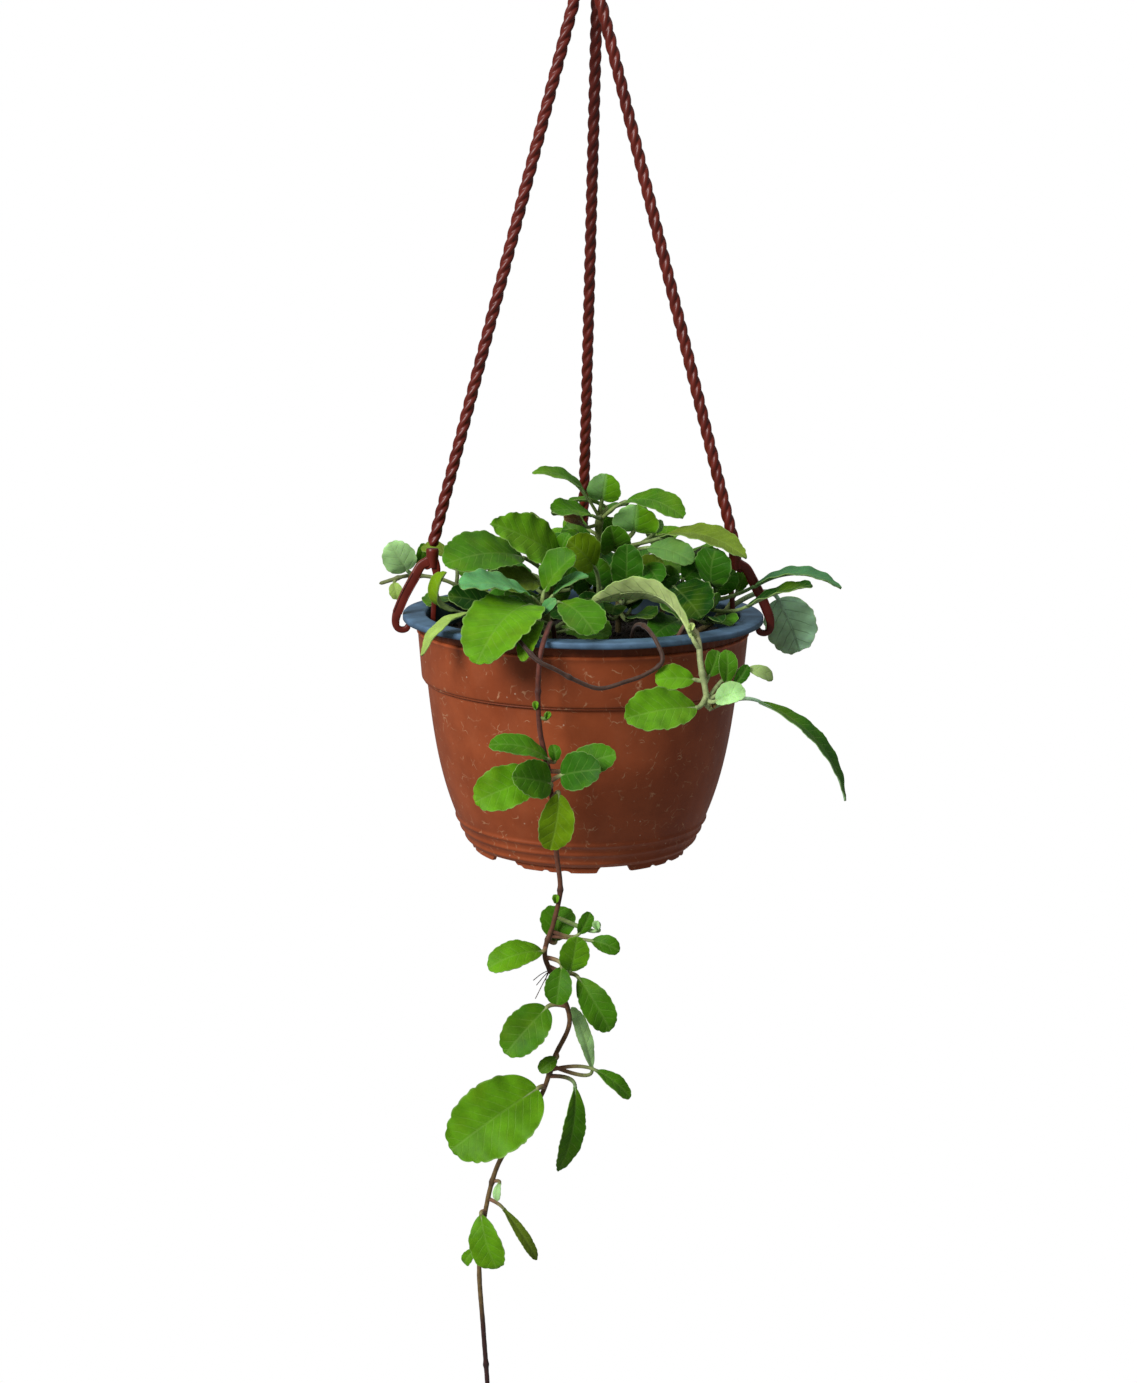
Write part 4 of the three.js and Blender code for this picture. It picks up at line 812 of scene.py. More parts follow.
def rim_clip(side, finish):
    """A clip: socket, wishbone arch with a raised border, outer leg that curls under the flange's lip
    and a thin leg inside the pot."""
    sizes = in_mm(bpy.context.scene.hanger_sizes)
    rim = RIM_HIGH.x / MM
    inner = rim - CLIP_INSET
    lip = RIM_TOP - FLANGE_LIP
    thick = sizes.clip_thickness
    turn = Matrix.Rotation(math.radians(SIDES[side]), 4, "Z")
    level = turn @ Vector((0, 1, 0))
    skin = Skin()

    def bar(places, widths, depth, corner=0.4):
        line = smooth_route([Vector((x, 0, z)) for x, z in places], 0.6)
        far = distances(line)
        marks = distances([Vector((x, 0, z)) for x, z in places])

        def section(i):
            share = far[i] / far[-1] * marks[-1]
            k = max(j for j in range(len(marks) - 1) if marks[j] <= share + 1e-6)
            part = min(1.0, (share - marks[k]) / (marks[k + 1] - marks[k]))
            width = widths[k] + (widths[k + 1] - widths[k]) * ease(part)
            near_end = min(far[i], far[-1] - far[i]) / (width / 2)
            tip = math.sqrt(max(0.02, 1 - max(0.0, 1 - near_end) ** 2))
            return bar_outline(width * tip, depth * (0.7 + 0.3 * tip), corner)

        swept(skin, [turn @ p for p in line], section, flat=level)

    # The outer arm runs from the socket over the shoulder, down outside the rim and into the curl.
    bar([(inner + 0.4, 30), (inner + 1.8, 28), (inner + 5.6, 25.6), (inner + 8.4, 21), (rim - 1.0, 10.5),
         (rim + 2.9, 1.4), (rim + 3.6, lip - 1.6), (rim + 2.8, lip - 4.4), (rim + 0.4, lip - 5.5),
         (rim - 2.0, lip - 4.7), (rim - 2.8, lip - 2.5)],
        [5.2, 4.9, 4.7, 4.9, 4.6, 4.4, 3.9, 3.1, 3, 3, 2.6], thick)
    # Raised borders down both edges of the outer leg.
    for off in (-1.9, 1.9):
        bar([(inner + 8 + off, 21.4 + off * 0.5), (rim - 1.0 + off, 10.5 + off * 0.4),
             (rim + 2.9 + off, 1.4 + off * 0.3)],
            [0.9, 0.9, 0.9], thick + 0.7, 0.8)
    # The arch's inner arm, narrowing to the leg inside the pot.
    bar([(inner + 0.3, 30), (inner - 1.6, 25), (inner - 1.9, 18), (inner - 0.8, 8), (inner, -6)],
        [5.4, 4.6, 2.9, 2.6, 2.4], thick - 1)
    # Web between the arms, and the round mark of the ejector pin on each face.
    bar([(inner + 0.5, 27.4), (inner + 4.6, 24.4)], [5, 4.4], thick - 1.2)
    for way in (-1, 1):
        centre = Vector((inner + 2.6, way * (thick / 2 - 0.5), 26.4))
        disc = [turn @ centre, turn @ (centre + Vector((0, way * 0.75, 0)))]
        swept(skin, disc, lambda i: round_outline(1.0 - 0.1 * i, 20))
    # The socket swells round the strand's end.
    neck = heights(24.5, CLIP_RISE - 1, 20)

    def socket(i):
        return round_outline(2.7 + 0.55 * ease(i / 20) - 0.35 * ease((i - 18) / 2), 24)

    swept(skin, [turn @ Vector((inner, 0, z)) for z in neck], socket)
    settle(f"rim_clip_{side}_piece", skin, [finish], [f"rim_clip_{side}"], 45)


# ---- leaves and shoots ---------------------------------------------------------------------------

FORMS = {     # how a blade's half width swells from its base (0) to its tip (1)
    "round": (0.5, 0.5), "oval": (0.7, 0.5), "ovate": (0.5, 0.75), "spoon": (1, 0.45), "long": (0.8, 0.75),
}
TONES = {     # upper faces and undersides, as they look in even light, except two with painted light: "dark" is a dark green deepened as painted shade for leaves that lie in shade, and "soft" is the painted lit half of a folded leaf
    "bright": 0x5C9410, "fresh": 0x447A0E, "yellow": 0x6A8E0A, "deep": 0x32680F, "dark": 0x184406,
    "blue": 0x5A9C5C, "sage": 0x5E8A44, "olive": 0x667F20, "mint": 0xACDC90, "lime": 0x9DBB5C,
    "soft": 0x8CC070, "teal": 0x447A4A, "dry": 0x6B4A2C, "pale": 0x93AE68, "glaucous": 0xAAD8AE,
    "straw": 0xC2D688,
}
GREEN_STEM, OLD_STEM, RED_STEM, DARK_NODE = 0x8A9A52, 0x7A6A42, 0x6A3426, 0x38201A
PINK_STALK, DRY_ROOT = 0x9A6450, 0x5C4030
SOIL = -9.6                        # where the shoots start, just under the heaped surface


def leaf(base, tip, width, up, at, tone, name=None, arch=2, cup=0.15, form="oval", roll=0, root=None,
         under="pale", other=None):
    """One leaf: its blade from base to tip, the way its upper face looks, how far its midrib arches that way,
    how much its sides cup up and by how many degrees it rolls about its midrib. It joins its shoot at `root`,
    or at `at` along the shoot. `other` is the tone of its right half; where it differs from the left half's,
    the two tones are painted light and shade across the fold."""
    return SimpleNamespace(base=base, tip=tip, width=width, up=up, at=at, tone=tone, name=name, arch=arch,
                           cup=cup, form=form, roll=math.radians(roll), root=root, under=under,
                           other=other or tone)


def shoot(line, leaves=(), diameter=3.2, colours=(OLD_STEM, GREEN_STEM), stalks=None, knots=None, buds=(),
          rootlets=()):
    """One shoot or runner: its stem's line, thickness and colours from old to young and then tip, where
    it swells, its tiny side buds (place, length, tone) and its hair roots (share of the way, number)."""
    knots = knots or sorted({round(row.at, 2) for row in leaves if row.root is None and row.at < 0.97})
    return SimpleNamespace(line=line, leaves=leaves, diameter=diameter, colours=colours,
                           stalks=stalks or colours[1], knots=knots, buds=buds, rootlets=rootlets)


SHOOTS = {    # each from the soil to its end; leaves with a name are pieces of their own
    "shoot_tall": shoot([(6, 32, SOIL), (7, 25, 20), (8, 18, 50)], [
        leaf((2, 10, 58), (-26, -5, 72), 13, (0.2, -0.35, 0.9), 0.96, "fresh", "leaf_crest_long", arch=5,
             form="long"),
        # its two half tones are painted light and shade across the fold
        leaf((9, 12, 57), (11, 5, 71), 17, (0, -1, 0.35), 1, "soft", "leaf_crest_folded", cup=0.2,
             form="round", other="bright"),
        leaf((21, 7, 57), (49, -12, 51), 17, (0.15, -0.6, 0.8), 0.92, "fresh", "leaf_crest_right", arch=5),
        leaf((11, 21, 53), (-8, 17, 55), 13, (0, 0, 1), 0.98, "fresh"),
        leaf((4, 4, 50), (-16, -10, 53), 17, (0, -0.45, 0.9), 0.96, "fresh"),
        leaf((0, 12, 44), (-10, 2, 48), 10, (0, -0.7, 0.7), 0.9, "dry"),
        leaf((10, 26, 46), (22, 36, 52), 15, (0.2, 0.3, 0.9), 0.86, "deep"),
        leaf((0, 30, 42), (-16, 42, 46), 14, (-0.2, 0.4, 0.9), 0.8, "deep"),
        leaf((4, 12, 34), (-10, -2, 36), 19, (-0.1, -0.6, 0.8), 0.66, "fresh"),
        leaf((11, 15, 31), (6, 1, 24), 15, (0, -0.8, 0.6), 0.6, "dark"),
        leaf((1, 20, 30), (-18, 15, 33), 17, (-0.1, -0.5, 0.85), 0.55, "deep"),
        leaf((14, 24, 26), (34, 22, 24), 19, (0.1, -0.3, 0.95), 0.5, "deep"),
        leaf((10, 25, 32), (16, 26, 46), 15, (0, -1, 0.1), 0.6, "fresh"),
        leaf((2, 29, 31), (-9, 31, 42), 15, (0, -1, 0.2), 0.55, "deep"),
        leaf((3, 20, 10), (-5, 8, 22), 17, (0, -0.9, 0.45), 0.3, "deep"),
        leaf((12, 27, 3), (15, 22, 19), 17, (0, -1, 0.3), 0.15, "dark"),
    ]),
    "shoot_middle": shoot([(18, 6, SOIL), (19, 3, 18), (21, 1, 38)], [
        # its two half tones are painted light and shade across the fold
        leaf((25, -1, 43), (26, -9, 57), 23, (0, -0.9, 0.4), 1, "soft", "leaf_mid_folded", cup=0.2,
             form="round", other="bright"),
        leaf((38, -4, 40), (78, -42, 35), 19, (0.2, -0.5, 0.85), 0.93, "olive", "leaf_mid_arching", arch=7,
             form="long"),
        leaf((32, -11, 36), (53, -30, 31), 15, (0.1, -0.75, 0.65), 0.86, "sage", "leaf_mid_right", arch=3),
        leaf((21, -17, 13), (21, -23, 39), 16, (0, -1, 0.15), 0.35, "deep", "leaf_mid_upright"),
        leaf((15, -4, 34), (13, -14, 47), 16, (0, -0.85, 0.5), 0.9, "fresh", cup=0.4, form="round"),
        leaf((36, 5, 42), (39, 2, 48), 6, (0, -0.9, 0.4), 0.86, "mint"),
        leaf((30, -4, 20), (38, -12, 31), 15, (0.3, -0.8, 0.5), 0.55, "olive"),
        leaf((32, -2, 12), (48, -8, 22), 15, (0.1, -0.7, 0.7), 0.3, "deep"),
        leaf((9, -6, 15), (7, -14, 31), 14, (-0.2, -1, 0.2), 0.45, "deep"),
        leaf((27, 14, 26), (44, 26, 30), 14, (0.2, 0.3, 0.9), 0.7, "deep"),
        leaf((13, -7, 0), (-3, -17, 9), 16, (-0.1, -0.7, 0.7), 0.2, "dark"),
        leaf((24, -14, 0), (34, -36, 5), 15, (0.1, -0.7, 0.7), 0.24, "dark"),
        leaf((30, -10, 27), (37, -25, 20), 14, (0.1, -0.85, 0.5), 0.6, "deep"),
        leaf((16, -10, 6), (14, -25, 4), 12, (0, -0.8, 0.6), 0.3, "dark"),
        leaf((24, 5, 2), (26, 9, 14), 12, (0, -0.9, 0.4), 0.15, "dark"),
        leaf((30, 2, 22), (52, 2, 24), 17, (0.1, -0.5, 0.85), 0.5, "fresh"),
    ]),
    "shoot_left": shoot([(-16, 4, SOIL), (-17, 0, 10), (-16, -4, 27)], [
        leaf((-13, -7, 30), (-46, -28, 49), 27, (-0.15, -0.75, 0.65), 0.88, "bright", "leaf_left_tall",
             arch=3, form="ovate"),
        leaf((-30, -16, 31), (-67, -45, 31), 27, (-0.1, -0.72, 0.7), 0.8, "fresh", "leaf_left_broad",
             arch=5),
        leaf((-11, -2, 31), (-7, -7, 42), 9, (-0.3, -0.8, 0.4), 1, "fresh"),
        leaf((-22, -15, 19), (-42, -32, 19), 20, (-0.1, -0.7, 0.7), 0.7, "olive"),
        leaf((-6, -10, 16), (-12, -18, 30), 14, (0, -0.9, 0.4), 0.6, "deep"),
        leaf((-42, -22, 6), (-66, -36, 14), 17, (-0.1, -0.7, 0.7), 0.4, "dark"),
        leaf((-26, 4, 20), (-46, 8, 22), 15, (-0.2, 0, 1), 0.7, "deep"),
        leaf((-10, 12, 22), (-4, 28, 27), 12, (0, 0.3, 0.9), 0.8, "deep"),
        leaf((-22, -10, 10), (-36, -30, 8), 19, (-0.1, -0.75, 0.65), 0.45, "fresh"),
        leaf((-26, 0, 6), (-50, -6, 4), 20, (-0.1, -0.4, 0.9), 0.4, "deep"),
        leaf((-13, -10, 5), (-9, -28, 2), 15, (0, -0.8, 0.6), 0.3, "dark"),
        leaf((-20, 3, 2), (-12, 17, 14), 16, (0, -1, 0.3), 0.2, "dark"),
        leaf((-24, 8, 12), (-38, 24, 14), 18, (-0.1, 0.1, 1), 0.5, "deep"),
    ]),
    "shoot_front": shoot([(-14, -42, SOIL), (-17, -46, 2), (-20, -50, 13)], [
        leaf((5, -25, 28), (-8, -35, 42), 19, (-0.1, -0.85, 0.5), 1, "yellow", "leaf_front_yellow", cup=0.3,
             root=(4, -27, SOIL)),
        leaf((-19, -47, 19), (-4, -52, 37), 19, (-0.6, -0.6, 0.5), 1, "fresh", "leaf_front_folded",
             cup=0.45),
        leaf((-25, -53, 17), (-58, -76, 25), 20, (-0.05, -0.4, 0.9), 0.76, "blue", "leaf_front_blue",
             arch=4),
        leaf((-26, -59, 14), (-49, -100, -7), 33, (-0.2, -0.75, 0.65), 0.62, "bright", "leaf_front_large",
             arch=8, form="round"),
        leaf((-12, -62, 16), (5, -87, 5), 20, (0.2, -0.75, 0.6), 0.7, "fresh", "leaf_front_bright", arch=4,
             form="spoon"),
        leaf((-15, -54, 18), (2, -58, 28), 12, (-0.1, -0.3, 0.95), 0.9, "blue", "leaf_front_upright",
             form="long"),
        leaf((-53, -58, 10), (-76, -75, -8), 10, (-0.5, -0.3, 0.8), 0.38, "lime", "leaf_rim_left_slim",
             arch=5, form="long"),
        leaf((-20, -64, 7), (-28, -98, -6), 10, (-0.1, -0.5, 0.85), 0.5, "bright", arch=5),
        leaf((-10, -60, 4), (4, -76, 5), 11, (0.2, -0.7, 0.7), 0.4, "fresh"),
        leaf((-19, -62, 11), (-13, -68, 18), 6, (-0.2, -0.8, 0.4), 0.8, "blue"),
        leaf((-28, -40, 8), (-44, -30, 12), 12, (-0.2, 0.1, 1), 0.5, "dark"),
        leaf((-8, -42, 4), (10, -50, 10), 15, (0.2, -0.7, 0.7), 0.4, "dark"),
        leaf((-8, -48, 0), (12, -64, 0), 17, (0.1, -0.6, 0.8), 0.3, "fresh"),
        leaf((-20, -43, -4), (-40, -44, -4), 15, (-0.1, -0.5, 0.85), 0.25, "deep"),
    ]),
    "shoot_right": shoot([(54, -8, SOIL), (56, -12, 2), (60, -16, 12)], [
        leaf((65, -22, 17), (64, -35, 39), 20, (-0.3, -0.8, 0.5), 1, "deep", "leaf_right_curled", arch=5,
             cup=-0.2, form="spoon", under="sage"),
        leaf((45, -17, 17), (57, -45, 6), 27, (0, -0.8, 0.55), 0.64, "dark", "leaf_right_round",
             form="round"),
        leaf((84, -19, 18), (126, -30, 19), 18, (0, -0.1, 1), 0.86, "teal", "leaf_rim_right_long", arch=7,
             form="long", under="sage"),
        leaf((80, -26, 9), (110, -43, 22), 15, (0, -0.25, 1), 0.75, "dark", "leaf_rim_right_dark"),
        leaf((50, -8, 20), (61, -14, 31), 13, (0.2, -0.9, 0.4), 0.97, "deep"),
        leaf((66, -10, 13), (75, -13, 25), 11, (0.3, -0.8, 0.4), 0.93, "deep"),
        leaf((62, -30, 2), (66, -48, 5), 9, (0.1, -0.6, 0.8), 0.5, "dark"),
        leaf((62, -28, 8), (64, -36, 17), 7, (0.7, -0.6, 0.2), 0.7, "fresh"),
        leaf((60, 2, 8), (66, 20, 8), 14, (0.2, 0.2, 0.95), 0.8, "deep"),
        leaf((48, -16, 0), (34, -40, -4), 17, (0, -0.7, 0.7), 0.35, "deep"),
        leaf((64, -20, 0), (72, -40, 2), 15, (0.1, -0.6, 0.8), 0.45, "fresh"),
        leaf((50, 0, 10), (36, 8, 14), 16, (0, -0.4, 0.9), 0.7, "dark"),
    ]),
    "shoot_rim_right": shoot([(58, 6, SOIL), (65, 2, -4), (72, 0, 3)], [
        leaf((100, 13, 7), (111, 7, -19), 27, (0.1, 0.9, 0.35), 0.8, "fresh", "leaf_rim_right_round",
             arch=4, form="round", under="glaucous"),
        leaf((78, 4, 12), (82, 6, 24), 8, (0.2, -0.9, 0.3), 1, "fresh"),
    ]),
    "shoot_rim_left": shoot([(-48, 14, SOIL), (-64, 12, 12), (-87, 16, 17), (-105, 20, 12)], [
        leaf((-64, -16, 4), (-68, -20, 24), 14, (-0.9, -0.4, 0.1), 0.16, "yellow", "leaf_rim_left_curl",
             arch=7, cup=0.3),
        leaf((-90, 13, 20), (-98, 8, 35), 17, (-0.2, -0.85, 0.4), 0.72, "mint", form="round", under="mint"),
        leaf((-85, 19, 21), (-82, 20, 33), 6, (0.3, -0.8, 0.3), 0.68, "fresh"),
        leaf((-68, 16, 27), (-83, 18, 31), 10, (0, -0.5, 0.8), 0.4, "olive"),
        leaf((-97, 17, 13), (-95, 14, 5), 7, (0, -0.9, 0.3), 0.85, "lime", under="lime"),
    ], diameter=2, colours=(0x7A8A4C, 0x76804A)),
    "plantlet_runner": shoot([(44, -40, SOIL), (48, -58, 4), (50, -72, 7), (53, -84, 2), (54, -89, -8),
         (56, -91, -18), (58, -91, -29)], [
        leaf((50, -87, 4), (2, -64, 15), 19, (0.2, 0.5, 0.85), 0.66, "fresh", "plantlet_leaf_arching",
             arch=15, form="long", roll=10, under="straw"),
        leaf((51, -91, -15), (33, -95, -15), 13, (-0.1, -0.8, 0.6), 0.84, "bright", "plantlet_leaf_upper"),
        leaf((52, -97, -27), (19, -114, -29), 22, (-0.1, -0.8, 0.6), 0.92, "bright", "plantlet_leaf_broad",
             arch=3),
        leaf((82, -86, -26), (124, -84, -74), 14, (0.6, -0.35, 0.7), 1, "deep", "plantlet_leaf_trailing",
             arch=9, form="long", under="glaucous"),
        leaf((58, -88, -14), (62, -83, -3), 10, (0.2, -0.9, 0.3), 0.86, "fresh"),
        leaf((66, -89, -17), (66, -86, -2), 9, (0.2, -1, 0.1), 0.95, "fresh"),
        leaf((70, -87, -18), (76, -86, -9), 6, (0.2, -0.9, 0.3), 0.97, "deep"),
        leaf((76, -84, -11), (88, -84, -16), 7, (0, -0.7, 0.7), 0.95, "pale"),
        leaf((61, -96, -24), (74, -101, -19), 11, (0.1, -0.8, 0.6), 0.95, "mint", cup=0.5),
    ], diameter=2.8, colours=(0x8A5A40, 0xA9B87C), knots=[0.55, 0.8, 0.97],
         buds=[((49.3, -88, 8.6), 4, "straw"), ((60, -92, -27), 4, "dry")]),
    "trailing_runner": shoot([(-13, -56, SOIL), (-15, -70, 7), (-17, -86, 6.5), (-20, -97, -3),
         (-21, -98, -20), (-20, -98, -38), (-17, -98, -53), (-13, -98, -80), (-12, -98, -96),
         (-10, -98, -115), (-13, -98, -131), (-17, -98, -147), (-10, -98, -163), (-5, -98, -180),
         (-12, -98, -198), (-18, -98, -217), (-29, -98, -236), (-39, -97, -254), (-45, -97, -278),
         (-48, -97, -305), (-46, -97, -341), (-44, -97, -370), (-43, -97, -392)], [
        leaf((-16, -101, -51), (-43, -110, -43), 13, (-0.1, -0.55, 0.8), 0.232, "fresh",
             "runner_leaf_upper_left", arch=4),
        leaf((-19, -103, -59), (-49, -116, -68), 21, (-0.1, -0.85, 0.5), 0.243, "bright",
             "runner_leaf_left", arch=3),
        leaf((-15, -104, -62), (-32, -120, -55), 18, (-0.2, -0.9, 0.4), 0.256, "fresh", "runner_leaf_front",
             form="round"),
        leaf((-10, -104, -58), (8, -116, -52), 18, (0.1, -0.9, 0.4), 0.25, "deep", "runner_leaf_right",
             form="round"),
        leaf((-11, -103, -67), (-15, -112, -91), 17, (0.3, -0.9, 0.2), 0.268, "yellow",
             "runner_leaf_hanging", arch=3),
        leaf((-18, -101, -144), (-43, -112, -149), 15, (-0.1, -0.65, 0.75), 0.428, "bright",
             "trail_leaf_left", arch=4),
        leaf((-1, -101, -157), (14, -109, -180), 15, (0.2, -0.9, 0.3), 0.462, "fresh", "trail_leaf_right",
             arch=3),
        leaf((-16, -101, -172), (-35, -112, -191), 20, (-0.2, -0.9, 0.4), 0.498, "fresh",
             "trail_leaf_round", form="round"),
        leaf((-20, -103, -212), (-60, -122, -235), 35, (-0.2, -0.9, 0.4), 0.592, "bright",
             "trail_leaf_large", arch=4, form="round"),
        leaf((-2, -98, -213), (-10, -101, -255), 13, (0.5, -0.8, 0.1), 0.58, "fresh", "trail_leaf_slender",
             arch=5, form="long", under="mint"),
        leaf((-47, -101, -278), (-39, -107, -303), 17, (-0.3, -0.9, 0.2), 0.75, "bright", "trail_leaf_low",
             arch=3),
        leaf((-13, -97, -53), (-14, -95, -46), 6, (0.2, -0.9, 0.2), 0.226, "fresh"),
        leaf((-6, -97, -57), (15, -103, -48), 15, (0.1, -0.85, 0.5), 0.238, "fresh", form="round"),
        leaf((-12, -95, -141), (-11, -88, -126), 17, (0.1, -0.9, 0.3), 0.42, "fresh"),
        leaf((-5, -103, -153), (-2, -109, -134), 14, (0.1, -0.9, 0.3), 0.45, "bright"),
        leaf((-9, -103, -151), (-11, -110, -167), 13, (-0.1, -0.9, 0.4), 0.44, "fresh"),
        leaf((-1, -96, -137), (4, -94, -127), 7, (0.2, -0.9, 0.2), 0.41, "fresh"),
        leaf((5, -97, -140), (18, -100, -144), 9, (0.1, -0.8, 0.6), 0.416, "fresh"),
        leaf((-11, -102, -197), (-19, -106, -202), 7, (-0.1, -0.9, 0.4), 0.553, "fresh"),
        leaf((6, -95, -205), (-4, -92, -175), 8, (0.6, -0.8, 0.1), 0.568, "mint"),
        leaf((8, -97, -205), (24, -99, -218), 9, (0.2, -0.5, 0.8), 0.573, "fresh"),
        leaf((-38, -100, -262), (-39, -102, -270), 4, (-0.3, -0.9, 0.2), 0.715, "mint"),
        leaf((-36, -99, -276), (-20, -96, -304), 6, (0.6, -0.8, 0.1), 0.735, "olive"),
        leaf((-50, -95, -299), (-55, -93, -308), 6, (-0.4, -0.8, 0.3), 0.79, "bright"),
    ], diameter=2.4, colours=(RED_STEM, 0x80683E, 0x42221E), stalks=PINK_STALK, knots=[0.155, 0.235, 0.365,
         0.42, 0.455, 0.575, 0.715, 0.8, 0.93], buds=[((-21.9, -99, -26.7), 4, "bright"),
         ((-16.8, -99, -31.4), 4, "bright"), ((-12, -99, -119.3), 4.5, "bright"),
         ((7.5, -99, -132.3), 5, "mint")], rootlets=[(0.455, 7), (0.235, 3)]),
    "loop_runner": shoot([(-30, -50, SOIL), (-33, -68, 8), (-33, -84, 5), (-30, -93, 3), (-21, -101, -5),
         (-13, -101, -9), (-4, -100, -14), (7, -99, -18), (19, -98, -15), (28, -96, -12), (36, -94, -6),
         (33, -90, 3), (28, -80, 8), (24, -66, 5), (22, -54, SOIL)],
         diameter=2, colours=(0x42281C, 0x4E3426), knots=[0.33, 0.44, 0.68, 0.82]),
}

BACK_SHOOTS = {    # shoots behind, each a whorl of crossed pairs: top, first pair's way, reach
    "shoot_back_left": ((-52, 34, 10), 40, 36),
    "shoot_back": ((-14, 56, 24), 6, 42),
    "shoot_back_right": ((42, 46, 18), 76, 40),
}
PAIR_TONES = [("fresh", "deep"), ("bright", "fresh"), ("yellow", "bright")]


def whorl(top, start, reach):
    """Pairs of leaves that cross at right angles up a shoot: the lowest lie widest, the top stand."""
    leaves = []
    for i, tones in enumerate(PAIR_TONES):
        below = len(PAIR_TONES) - 1 - i
        for tone, side in zip(tones, (0, 180)):
            tilt = math.radians(4 + 24 * i + side / 30)
            flat = polar(1, math.radians(start + 90 * i + side))
            way = flat * math.cos(tilt) + Vector((0, 0, math.sin(tilt)))
            up = Vector((0, 0, math.cos(tilt))) - flat * math.sin(tilt)
            foot = Vector(top) - Vector((0, 0, 7 * below))
            size = reach * (1 - 0.2 * i)
            leaves.append(leaf(foot + way * size * 0.34, foot + way * size, size * 0.6, up, 1 - 0.22 * below,
                               tone, arch=3, cup=0.2, form="spoon"))
    return leaves


for shoot_name, (top, start, reach) in BACK_SHOOTS.items():
    line = [(top[0], top[1], SOIL), (top[0] + 1, top[1], top[2] / 2), top]
    SHOOTS[shoot_name] = shoot(line, whorl(top, start, reach))


def grown(point):
    """A place of the plant, spread with the rim."""
    x, y, z = point
    return Vector((x * SPREAD, y * SPREAD, z))


def half_width(row, u):
    """Half a blade's width at a share of its length."""
    p, q = FORMS[row.form]
    peak = (p / (p + q)) ** p * (q / (p + q)) ** q
    return row.width / 2 * u ** p * (1 - u) ** q / peak


def curve(a, b, c, u):
    """A point on the arch from a to c that b pulls, and the way it runs there."""
    point = a * (1 - u) ** 2 + b * 2 * u * (1 - u) + c * u * u
    return point, ((b - a) * (1 - u) + (c - b) * u).normalized()


def mixed(a, b, share):
    """A colour between two."""
    return tuple(x + (y - x) * share for x, y in zip(a, b))


UPPER, UNDER, STEM = 0, 1, 2       # the order of the finishes on leaves and shoots
ROW_STEP = 0.7                     # between rows of points along a blade
LEAST_BASE, LEAST_TIP = 0.95, 0.35              # half widths that a blade keeps at its ends
TOOTH_LIMIT = 1.0                  # depth of the deepest teeth
FAN = 0.8                          # how far a side vein runs forwards for each millimetre across
GROOVE, PUCKER = 0.5, 0.1          # depth of the midrib's groove and height of the swells by the veins
STALK_STEPS = 12
RIBBED = 0.8                       # share of a blade that its midrib stands out under


def sideways(row, up, way):
    """The way across a rolled blade."""
    return (Matrix.Rotation(row.roll, 3, way) @ up.cross(way)).normalized()


def closed_sheet(rows, columns):
    """The faces of a blade's two grids and of the edge that joins them, and their finishes."""
    size = rows * columns
    upper = grid_faces(rows, columns, closed_across=False)
    lower = [tuple(size + k for k in face[::-1]) for face in upper]
    edge = [i * columns for i in range(rows)] + [size - columns + j for j in range(1, columns)]
    edge += [i * columns + columns - 1 for i in reversed(range(rows - 1))]
    edge += list(reversed(range(1, columns - 1)))
    border = [(a, b, b + size, a + size) for a, b in zip(edge, edge[1:] + edge[:1])]
    faces = [face[::-1] for face in upper + lower + border]
    return faces, [UPPER] * len(upper) + [UNDER] * (len(lower) + len(border))


